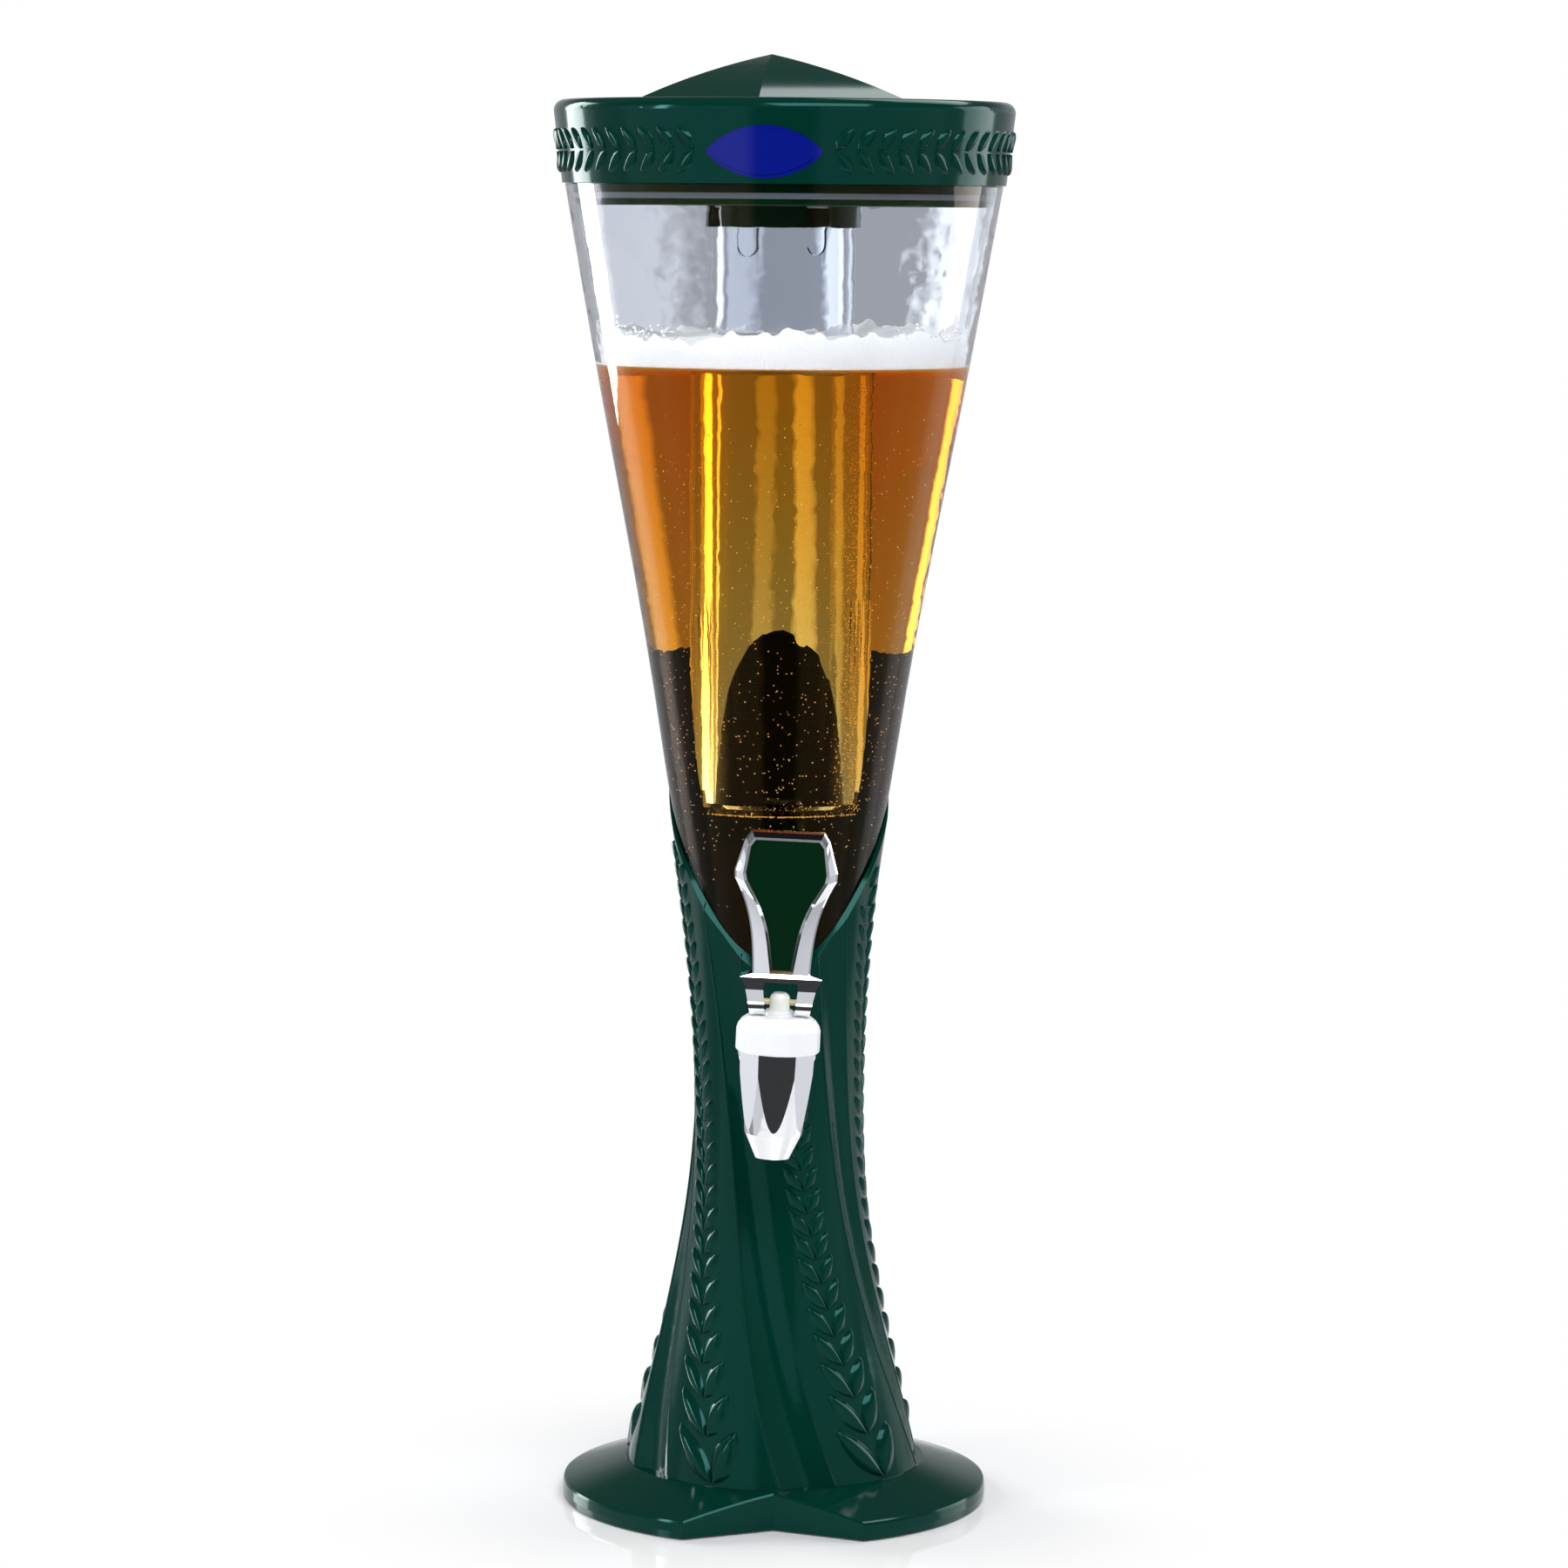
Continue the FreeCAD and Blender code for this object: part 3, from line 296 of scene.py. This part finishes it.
points = []
faces = []
for after_ridge, bead_r in BEADS:
    for ridge in range(RIDGES):
        rings = 0
        z = BEAD_LOW_Z
        while z < BEAD_HIGH_Z:
            turn = math.radians(ridge_turn(z) + RIDGE_PITCH * ridge + after_ridge)
            radius = column_radius(turn, z * MM)
            if radius is None:
                break
            size = bead_r * MM * min(1.0, max(BEAD_LEAST, (BEAD_THIN_Z - z) / BEAD_THIN_H))
            for k in range(BEAD_SIDES):
                a = 2 * math.pi * k / BEAD_SIDES
                points.append(along(turn + size * math.cos(a) / radius,
                                    radius - BEAD_SINK * size + size * math.sin(a), z * MM))
            if rings:
                here = len(points) - BEAD_SIDES
                for k in range(BEAD_SIDES):
                    m = (k + 1) % BEAD_SIDES
                    faces.append((here - BEAD_SIDES + k, here - BEAD_SIDES + m, here + m, here + k))
            rings += 1
            z += BEAD_STEP

column_beads = mesh_piece("column_beads", points, faces, green_abs)
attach(column_beads, "tower")


# ---- beer vessel ------------------------------------------------------------
# Tall clear funnel that stands on a web inside the column. It is moulded in
# polycarbonate, and three screws from below hold it by bosses under its floor.

def clear_finish(name, settings, shade, volume=None):
    """Clear body that bends light; lamps shine through it, tinted by shade."""
    finish, tree, out = new_finish(name)
    face = node(tree, "ShaderNodeBsdfPrincipled", settings)
    through = node(tree, "ShaderNodeBsdfTransparent", {"Color": shade})
    path = node(tree, "ShaderNodeLightPath", {})
    mix = node(tree, "ShaderNodeMixShader", {},
               [(0, path.outputs["Is Shadow Ray"]), (1, face.outputs[0]), (2, through.outputs[0])])
    tree.links.new(mix.outputs[0], out.inputs["Surface"])
    if volume:
        fog = node(tree, "ShaderNodeVolumeAbsorption", volume)
        tree.links.new(fog.outputs[0], out.inputs["Volume"])
    return finish


# Polished and colourless. The tint keeps reflections of the room from veiling the beer. Its amber is
# painted warm light that browns those reflections over the dark lower beer.
clear_plastic = clear_finish("clear polycarbonate", {
    "Base Color": linear("f6f8fb"), "Roughness": 0.0, "IOR": 1.5,
    "Specular Tint": linear("aa8b61"), "Transmission Weight": 1.0}, linear("f2f4f8"))
dress(["beer_vessel"], clear_plastic)
dress(["vessel_screws"], zinc_steel)


# ---- tap body, washers and nut ----------------------------------------------
# Body with valve chamber, outlet, flange and shank, moulded in ABS and chrome plated.
# Its shank goes through the walls of column and vessel to a white nut, with a silicone
# washer on either side of them.

# A mirror with hardly any blur.
chrome = opaque_finish("chrome plating, bright", {
    "Base Color": linear("eceef0"), "Metallic": 1.0, "Roughness": 0.04})
dress(["tap_body"], chrome)

# Milky, soft and satin.
silicone = opaque_finish("translucent silicone", {
    "Base Color": linear("c8ccce"), "Roughness": 0.4, "Subsurface Weight": 0.2})
dress(["outer_washer", "inner_washer"], silicone)

# Warm white with a soft shine.
white_acetal = opaque_finish("white acetal", {
    "Base Color": linear("f0eee8"), "Roughness": 0.3})
dress(["shank_nut"], white_acetal)


# ---- valve ------------------------------------------------------------------
# White acetal stem with a silicone cup that closes the outlet. A silicone diaphragm
# seals it, under a faceted nut that is screwed on the body's collar.

dress(["tap_stem"], white_acetal)
dress(["seat_cup", "stem_seal"], silicone)

WHITE = linear("ffffff")

# Natural polypropylene scatters light inside. The faint glow stands in for what the
# scattering of a few mm doesn't carry round the nut.
frosted_plastic = opaque_finish("translucent polypropylene", {
    "Base Color": linear("eceef0"), "Roughness": 0.18, "IOR": 1.49, "Subsurface Weight": 0.4,
    "Subsurface Radius": (4 * MM, 4 * MM, 4 * MM), "Subsurface Scale": 1.0,
    "Emission Color": WHITE, "Emission Strength": 0.02})
dress(["tap_bonnet"], frosted_plastic)


# ---- tap lever --------------------------------------------------------------
# Chrome plated lever with a flared collar and two cam legs, which turns on a nylon pin
# through the stem's head. A dark green plate lies in its front, left bare.

dress(["tap_handle"], chrome)

# Nearly black with a green gloss.
dark_green_abs = opaque_finish("dark green ABS, glossy moulding", {
    "Base Color": linear("042412"), "Roughness": 0.12, "IOR": 1.5, "Specular IOR Level": 0.28})
dress(["handle_insert"], dark_green_abs)

# Cream coloured and satin.
cream_nylon = opaque_finish("cream nylon", {"Base Color": linear("d8c89a"), "Roughness": 0.4})
dress(["pivot_pin"], cream_nylon)


# ---- beer -------------------------------------------------------------------
# Lager from the vessel's floor to the foam, round the ice tube. It reaches a little into
# both walls, so that no film of air shows between them.

VESSEL_FLOOR_Z = 218.0  # upper side of the floor
PROBE_UP = 0.6          # the wall is first measured this far above the floor
PROBE_TURN = 135.0      # degrees from the front, well away from the tap's nut
BEER_TOP_Z = 571.0
BEER_ROWS = 90
BEER_STEPS = 160
WET = 0.3                                 # how far the beer reaches into the walls
TUBE_R = 35.0
TUBE_FOOT = [(34.9, 14.0), (34.5, 3.0)]   # (radius, height above its foot)
TUBE_FLAT_R = 31.5                        # radius of the flat under the tube
TUBE_FOOT_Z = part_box("ice_tube")[0].z / MM


vessel_surface = surface_of("beer_vessel")


def inside_radius(z):
    """Inside radius of the vessel at a height."""
    way = along(math.radians(PROBE_TURN), 1.0, 0.0)
    start = Vector((0, 0, max(z, VESSEL_FLOOR_Z + PROBE_UP) * MM))
    return vessel_surface.ray_cast(start, way)[0].dot(way) / MM


def turned(profile_at, steps):
    """Points and faces of a closed (radius, z) profile taken round the axis."""
    points = []
    for k in range(steps):
        turn = 2 * math.pi * k / steps
        profile = profile_at(turn)
        points += [along(turn, r * MM, z * MM) for r, z in profile]
    faces = []
    count = len(profile)
    for k in range(steps):
        here = k * count
        there = (k + 1) % steps * count
        for n in range(count):
            m = (n + 1) % count
            faces.append((here + n, there + n, there + m, here + m))
    return points, faces


def beer_outline():
    """Up the vessel's wall, across, down the ice tube and back along the floor."""
    low = VESSEL_FLOOR_Z - WET
    heights = [low + (BEER_TOP_Z - VESSEL_FLOOR_Z + WET) * k / BEER_ROWS
               for k in range(BEER_ROWS + 1)]
    outline = [(inside_radius(z) + WET, z) for z in heights]
    outline += [(TUBE_R - WET, BEER_TOP_Z)]
    outline += [(r - WET, TUBE_FOOT_Z + up) for r, up in TUBE_FOOT]
    return outline + [(TUBE_FLAT_R - WET, TUBE_FOOT_Z + WET), (0.0, TUBE_FOOT_Z + WET), (0.0, low)]


outline = beer_outline()
points, faces = turned(lambda turn: outline, BEER_STEPS)

# Clear amber: light fades to about a third over 2 cm of beer in blue, 9 cm in green and
# 1 m in red. The IOR is lower than that of real beer, which raises the dark zone's edge.
BEER_DENSITY = 50.0
SOAKED_UP = (1.0, 11.75, 44.0)  # per metre, of red, green and blue light
lager = clear_finish("lager beer", {
    "Base Color": WHITE, "Roughness": 0.0, "IOR": 1.3, "Transmission Weight": 1.0,
    "Specular Tint": linear("ffcb7c")}, linear("fff6e0"), {
    "Color": [1 - a / BEER_DENSITY for a in SOAKED_UP] + [1.0], "Density": BEER_DENSITY})
beer = mesh_piece("beer", points, faces, lager)
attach(beer, "tower")


# ---- bubbles ----------------------------------------------------------------
# Gas bubbles of 0.4 to 0.8 mm. Every second one clings to the right of the ice tube, the
# others hang in the front of the beer. Some of up to 1 mm sit under the tube's foot.

BUBBLES = 2200
BUBBLE_R = (0.2, 0.42)
FOOT_BUBBLES = 400
FOOT_BUBBLE_R = (0.25, 0.5)
FRONT_TURN = 1.5                # radians to either side of the front
CLING_TURN = (1.0, 0.14)        # radians: middle and spread
CLING_R = TUBE_R + 0.4
CLING_SPREAD = 1.5              # how far most of them are from the tube
HANG_R = TUBE_R + 2.0
HANG_CLEAR = 2.0                # hanging bubbles to the vessel's wall
HANG_BELOW = 50.0               # they are moved down by up to this much
BUBBLE_LOW_Z = TUBE_FOOT_Z + 2.0
BUBBLE_HIGH_Z = BEER_TOP_Z - 6.0
FOOT_TURN = 1.3                 # radians to either side of the front
FOOT_REACH = TUBE_R - 2.0
FOOT_BELOW = 0.5                # from the tube's foot to the bubbles under it

rng = random.Random(7)


def bubble(points, faces, middle, size):
    """Adds a small eight-sided ball."""
    first = len(points)
    shape = [(0, 0, 1), (1, 0, 0), (0, 1, 0), (-1, 0, 0), (0, -1, 0), (0, 0, -1)]
    points += [middle + Vector(corner) * size for corner in shape]
    for a, b in ((1, 2), (2, 3), (3, 4), (4, 1)):
        faces += [(first, first + a, first + b), (first + 5, first + b, first + a)]


points = []
faces = []
for n in range(BUBBLES):
    z = rng.uniform(BUBBLE_LOW_Z, BUBBLE_HIGH_Z)
    if n % 2 == 0:
        z -= HANG_BELOW * rng.random()
        turn = rng.uniform(-FRONT_TURN, FRONT_TURN)
        radius = rng.uniform(HANG_R, inside_radius(z) - HANG_CLEAR)
    else:
        turn = rng.gauss(*CLING_TURN)
        radius = CLING_R + abs(rng.gauss(0.0, CLING_SPREAD))
    bubble(points, faces, along(turn, radius * MM, z * MM), rng.uniform(*BUBBLE_R) * MM)
for n in range(FOOT_BUBBLES):
    reach = FOOT_REACH * math.sqrt(rng.random())
    middle = along(rng.uniform(-FOOT_TURN, FOOT_TURN), reach * MM, (TUBE_FOOT_Z - FOOT_BELOW) * MM)
    bubble(points, faces, middle, rng.uniform(*FOOT_BUBBLE_R) * MM)

# Opaque and pale, with a soft shine. The pale colour is a painted glint that stands in for the light
# clear gas bubbles catch.
bubble_skin = opaque_finish("gas bubbles, painted glint", {
    "Base Color": linear("fff4d8"), "Roughness": 0.25})
bubbles = mesh_piece("bubbles", points, faces, bubble_skin)
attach(bubbles, "tower")


# ---- foam -------------------------------------------------------------------
# White head of tiny bubbles, 12 to 15 mm thick. Its ragged edge stands 9 to 21 mm above
# the beer on the vessel's wall, with single blobs up to 6 mm higher.

FOAM_STEPS = 240
FOAM_IN_R = TUBE_R + 0.2
FOAM_GAP = 0.15       # foam to the vessel's wall
FOAM_SINK = 0.6       # how far the foam reaches down into the beer
FOAM_EDGE = 15.0      # middle height of its edge above the beer
# waves round the edge: (height, number, start)
EDGE_WAVES = ((1.6, 3, 0.8), (1.4, 7, 2.0), (1.2, 17, 0.4), (1.1, 41, 0.0), (0.8, 67, 1.0))
# rings of the top: (radius, height above the beer, and a wave as above)
TOP_WAVES = ((72.0, 13.0, 1.3, 9, 0.0), (55.0, 12.2, 1.2, 13, 1.0))
# rings where it climbs the ice tube: (radius, height above the beer)
FOAM_RISE = ((TUBE_R + 2.0, 12.8), (FOAM_IN_R, 14.0))
WALL_BLOBS = 150
BLOB_R = (0.3, 1.2)
BLOB_UP = 6.0
BLOB_CROWD = 2.5         # the higher this is, the more of them stay near the edge
BLOB_IN = 1.0            # from the vessel's wall to a blob's middle
BLOB_TURN = (1.0, 0.25)  # radians to either side of the front: middle and spread


def wave(high, count, start, turn):
    """Height of a wave that goes count times round."""
    return high * math.sin(count * turn + start)


def foam_height(turn):
    """Height of the foam's edge above the beer."""
    return FOAM_EDGE + sum(wave(*shape, turn) for shape in EDGE_WAVES)


def foam_outline(turn):
    """Out along the beer, up the wall, over the edge and back across the wavy top."""
    low = BEER_TOP_Z - FOAM_SINK
    top = BEER_TOP_Z + foam_height(turn)
    wall = [(inside_radius(z) - FOAM_GAP, z) for z in (low, low + 5, top - 2)]
    edge = [(inside_radius(top) - 0.9, top), (inside_radius(top) - 4, top - 1.2)]
    across = [(r, BEER_TOP_Z + up + wave(*shape, turn)) for r, up, *shape in TOP_WAVES]
    across += [(r, BEER_TOP_Z + up) for r, up in FOAM_RISE]
    return [(FOAM_IN_R, low)] + wall + edge + across


points, faces = turned(foam_outline, FOAM_STEPS)
for n in range(WALL_BLOBS):
    turn = rng.choice((-1, 1)) * rng.gauss(*BLOB_TURN)
    z = BEER_TOP_Z + foam_height(turn) + BLOB_UP * rng.random() ** BLOB_CROWD
    middle = along(turn, (inside_radius(z) - BLOB_IN) * MM, z * MM)
    bubble(points, faces, middle, rng.uniform(*BLOB_R) * MM)

# Warm white and matt, with a grain drawn coarser than the real bubbles. The faint glow
# stands in for light that scatters right through.
foam_head = opaque_finish("beer foam", {
    "Base Color": linear("fbf8f2"), "Roughness": 0.7, "Subsurface Weight": 0.4,
    "Subsurface Radius": (6 * MM, 6 * MM, 5 * MM), "Subsurface Scale": 1.0,
    "Emission Color": WHITE, "Emission Strength": 0.04}, grain=(0.3, 1.2))
foam = mesh_piece("foam", points, faces, foam_head)
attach(foam, "tower")


# ---- ice tube ---------------------------------------------------------------
# Closed tube for ice, moulded in clear polycarbonate like the vessel. Two bayonet heads
# lock it in the lid's hub, and a silicone ring seals its mouth.

dress(["ice_tube"], clear_plastic)
dress(["tube_gasket"], silicone)


# ---- lid shell --------------------------------------------------------------
# Lift-off lid with a sloping band, a rounded rim and a four-sided roof, moulded in the
# same green ABS as the column. It rests on the vessel's rim.

dress(["lid_shell"], green_abs)


# ---- lid leaves -------------------------------------------------------------
# Two rows of raised leaves, moulded with the lid's band. They point away from the badge
# on both sides and almost meet at the back.

LID_TURN = -5.0            # degrees; the lid is put on turned a little to the left
BAND_LEAVES = 28           # in a row on each side
BAND_FIRST_TURN = 17.6     # degrees from the badge's middle
BAND_PITCH = 5.55          # degrees from a leaf to the next
BAND_MIDDLE_Z = 674.0
BAND_ROW_GAP = 0.5         # from the middle to a row
BAND_LOW_Z = 658.25
BAND_LOW_R = 109.3
BAND_SLOPE = 0.1193        # growth of the radius per mm of height
BAND_LEAN = 40.0           # degrees
BAND_LEAF = (13.6, 3.3, 2.3)  # length, half width, height


def on_band(turn, side, row):
    """Map for a leaf that points to one side, in the row above or below the middle."""

    def place(x, y, h):
        z = BAND_MIDDLE_Z * MM + (row * y + row * BAND_ROW_GAP * MM)
        r = (BAND_LOW_R + (z / MM - BAND_LOW_Z) * BAND_SLOPE) * MM
        return along(turn + side * x / r, r + h, z)

    return place


points = []
faces = []
for side in (-1, 1):
    for n in range(BAND_LEAVES):
        turn = math.radians(LID_TURN + side * (BAND_FIRST_TURN + BAND_PITCH * n))
        for row in (-1, 1):
            leaf(points, faces, on_band(turn, side, row), math.radians(BAND_LEAN),
                 *[size * MM for size in BAND_LEAF])

lid_leaves = mesh_piece("lid_leaves", points, faces, green_abs)
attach(lid_leaves, "lid")


# ---- lid badge --------------------------------------------------------------
# Pointed oval plate of blue resin, set in a recess in the front of the lid's band. It is
# left bare.

# Deep blue under a clear gloss.
blue_resin = opaque_finish("blue resin, glossy", {
    "Base Color": linear("07167c"), "Roughness": 0.1, "IOR": 1.5, "Specular IOR Level": 0.25})
dress(["lid_badge"], blue_resin)


# ---- lid liner and seal -----------------------------------------------------
# Plug that fits the vessel's mouth, moulded in one with the tube's hub in dark green ABS
# and screwed under the lid shell. A silicone ring lies in its groove.

dress(["lid_liner"], dark_green_abs)
dress(["liner_screws"], zinc_steel)

# Mid grey with a satin shine. The grey is darker than the washers' silicone and is painted: it stands for
# the shade under the band and for the grey that the vessel's wall reflects in front of the seal.
seal_painted_grey = opaque_finish("silicone, satin, painted grey", {
    "Base Color": linear("6c7276"), "Roughness": 0.2})
dress(["lid_seal"], seal_painted_grey)


# ---- floor ------------------------------------------------------------------
# White gloss table top, lacquered, on which the tower stands. Away from the tower it
# fades into the white of the backdrop, for the camera only.

FLOOR_R = 600.0
FLOOR_SIDES = 96
FADE_START_R = 100.0
FADE_END_R = 250.0
FADE_LEAST = 0.05  # share of the backdrop's white right beside the base


def table_lacquer():
    """Polished white that mirrors the base softly."""
    finish, tree, out = new_finish("white gloss table")
    place = node(tree, "ShaderNodeTexCoord", {})
    away = node(tree, "ShaderNodeVectorMath", {"operation": "LENGTH"}, [(0, place.outputs["Object"])])
    fade = node(tree, "ShaderNodeMapRange", {
        "From Min": FADE_START_R * MM, "From Max": FADE_END_R * MM, "To Min": FADE_LEAST,
        "To Max": 1.0, "interpolation_type": "SMOOTHSTEP"}, [("Value", away.outputs["Value"])])
    path = node(tree, "ShaderNodeLightPath", {})
    share = node(tree, "ShaderNodeMath", {"operation": "MULTIPLY"},
                 [(0, fade.outputs["Result"]), (1, path.outputs["Is Camera Ray"])])
    lacquer = node(tree, "ShaderNodeBsdfPrincipled", {
        "Base Color": linear("f7f8f8"), "Roughness": 0.05, "IOR": 1.5, "Specular IOR Level": 0.8})
    backdrop = node(tree, "ShaderNodeEmission", {"Color": WHITE, "Strength": 1.0})
    mix = node(tree, "ShaderNodeMixShader", {},
               [(0, share.outputs[0]), (1, lacquer.outputs[0]), (2, backdrop.outputs[0])])
    tree.links.new(mix.outputs[0], out.inputs["Surface"])
    return finish


rim_turns = [2 * math.pi * k / FLOOR_SIDES for k in range(FLOOR_SIDES)]
rim_points = [(FLOOR_R * MM * math.cos(a), FLOOR_R * MM * math.sin(a), 0.0) for a in rim_turns]
floor = mesh_piece("floor", rim_points, [tuple(range(FLOOR_SIDES))], table_lacquer())


# ---- studio -----------------------------------------------------------------
# White backdrop for the camera. Reflections see white panels at both sides, a dark room
# in front and a high card there; glass sees a grey wall behind with bright strips.

# A ring of walls is a list of (degrees from straight behind, brightness), positive to the
# right, times a list of (height, share). The height is 0 straight down and 1 straight up.
SEEN_THROUGH = [
    (-180, 0.05), (-100, 0.05), (-85, 0.5), (-63, 0.5), (-60, 5.5), (-44, 5.5), (-41, 0.5),
    (-17, 0.4), (-7.5, 0.38), (-7, 0.8), (-2.7, 0.75), (-2.2, 0.4), (3.2, 0.42), (4, 1.3),
    (9.5, 1.2), (10.5, 0.4), (24, 0.4), (27, 1.1), (41, 1.1), (44, 0.4), (80, 0.4), (100, 0.05),
    (180, 0.05)]
SEEN_THROUGH_UP = [(0.0, 0.05), (0.35, 0.1), (0.45, 1.0), (0.70, 1.0), (0.76, 0.1), (1.0, 0.1)]
MIRRORED = [
    (-180, 0.05), (-166, 0.05), (-160, 0.9), (-96, 0.9), (-90, 0.4), (-72, 0.4), (-66, 0.95),
    (-54, 0.95), (-48, 0.5), (48, 0.5), (54, 0.9), (66, 0.9), (72, 0.4), (90, 0.4), (96, 0.75),
    (160, 0.75), (166, 0.05), (180, 0.05)]
MIRRORED_UP = [(0.0, 0.7), (0.30, 0.7), (0.44, 1.0), (0.62, 1.0), (0.72, 0.2), (1.0, 0.2)]
FRONT_CARD = [(-180, 0.7), (-168, 0.7), (-164, 0.0), (164, 0.0), (168, 0.7), (180, 0.7)]
FRONT_CARD_UP = [(0.0, 0.0), (0.67, 0.0), (0.70, 1.0), (0.92, 1.0), (0.95, 0.0), (1.0, 0.0)]
WALL_COLOUR = (0.97, 0.98, 1.04, 1)  # a little cooler than white, and linear, as it passes 1

world = bpy.data.worlds.new("studio")
bpy.context.scene.world = world
world.use_nodes = True
tree = world.node_tree
tree.nodes.clear()
out = tree.nodes.new("ShaderNodeOutputWorld")

place = node(tree, "ShaderNodeTexCoord", {})
split = node(tree, "ShaderNodeSeparateXYZ", {}, [(0, place.outputs["Generated"])])
turn = node(tree, "ShaderNodeMath", {"operation": "ARCTAN2"},
            [(0, split.outputs["X"]), (1, split.outputs["Y"])])
around = node(tree, "ShaderNodeMapRange", {"From Min": -math.pi, "From Max": math.pi},
              [("Value", turn.outputs[0])])
upward = node(tree, "ShaderNodeMapRange", {"From Min": -1.0, "From Max": 1.0},
              [("Value", split.outputs["Z"])])


def walls(ring, levels):
    """Ring of walls with its brightness around, times its share upward."""
    turns = [(angle / 360 + 0.5, value) for angle, value in ring]
    ramps = []
    for steps, source in ((turns, around), (levels, upward)):
        made = node(tree, "ShaderNodeValToRGB", {}, [("Fac", source.outputs["Result"])])
        elements = made.color_ramp.elements
        elements[0].position = steps[0][0]
        elements[1].position = steps[-1][0]
        for position, value in steps[1:-1]:
            elements.new(position)
        for element, (position, value) in zip(elements, steps):
            element.color = (value, value, value, 1)
        ramps.append(made.outputs["Color"])
    strength = node(tree, "ShaderNodeMath", {"operation": "MULTIPLY"}, [(0, ramps[0]), (1, ramps[1])])
    return node(tree, "ShaderNodeBackground", {"Color": WALL_COLOUR}, [("Strength", strength.outputs[0])])


seen_through = walls(SEEN_THROUGH, SEEN_THROUGH_UP)
mirrored = walls(MIRRORED, MIRRORED_UP)
front_card = walls(FRONT_CARD, FRONT_CARD_UP)
reflected = node(tree, "ShaderNodeAddShader", {}, [(0, mirrored.outputs[0]), (1, front_card.outputs[0])])
backdrop = node(tree, "ShaderNodeBackground", {"Color": WHITE, "Strength": 1.0})
path = node(tree, "ShaderNodeLightPath", {})
unseen = node(tree, "ShaderNodeMixShader", {},
              [(0, path.outputs["Is Transmission Ray"]), (1, reflected.outputs[0]),
               (2, seen_through.outputs[0])])
mix = node(tree, "ShaderNodeMixShader", {},
           [(0, path.outputs["Is Camera Ray"]), (1, unseen.outputs[0]), (2, backdrop.outputs[0])])
tree.links.new(mix.outputs[0], out.inputs["Surface"])


# ---- lamps ------------------------------------------------------------------
# A large softbox stands behind at the left, a weaker one at the right, one above behind
# and a fill above the front; a narrow strip light stands at the left. The camera and
# glass don't see them, so that no white card shows through the vessel.

AIM = (0, 0, 0.4)  # metres; the middle of the tower


def softbox(name, turn, far, height, width, tall, radiance):
    """Soft lamp at a turn in degrees from straight behind, aimed at the tower, in metres."""
    lamp = bpy.data.lights.new(name, "AREA")
    lamp.shape = "RECTANGLE"
    lamp.size = width
    lamp.size_y = tall
    lamp.energy = radiance * math.pi * width * tall
    made = bpy.data.objects.new(name, lamp)
    a = math.radians(turn)
    made.location = (far * math.sin(a), far * math.cos(a), height)
    aim = Vector(AIM) - made.location
    made.rotation_euler = aim.to_track_quat("-Z", "Y").to_euler()
    made.visible_camera = False
    made.visible_transmission = False
    bpy.context.scene.collection.objects.link(made)


softbox("left_softbox", -53, 1.8, 0.87, 0.64, 1.4, 10.0)
softbox("right_softbox", 68, 1.8, 0.87, 0.9, 1.3, 3.0)
softbox("top_softbox", 44, 1.0, 1.9, 1.0, 0.8, 4.0)
softbox("front_fill", 160, 1.6, 2.0, 1.6, 1.0, 8.0)
softbox("strip_light", -118, 1.7, 0.95, 0.2, 0.9, 16.0)


# ---- camera -----------------------------------------------------------------
# Long lens 2.5 m in front of the tower, just below the height of the lid. It looks 6.5
# degrees down and is rolled by half a degree.

PICTURE = 1800     # pixels across the square picture
FOCAL = 5870       # pixels
HORIZON = 670      # pixels from the picture's middle up to the horizon
SENSOR = 36.0      # mm
ROLL = 0.47        # degrees
CAMERA_AT = (0.0023, -2.535, 0.6505)  # metres

camera_data = bpy.data.cameras.new("camera")
camera_data.sensor_width = SENSOR
camera_data.lens = FOCAL * SENSOR / PICTURE
camera = bpy.data.objects.new("camera", camera_data)
tilt = Matrix.Rotation(math.pi / 2 - math.atan(HORIZON / FOCAL), 4, "X")
roll = Matrix.Rotation(math.radians(ROLL), 4, "Z")
camera.matrix_world = Matrix.Translation(CAMERA_AT) @ tilt @ roll
bpy.context.scene.collection.objects.link(camera)
bpy.context.scene.camera = camera
bpy.context.scene.view_settings.view_transform = "Standard"
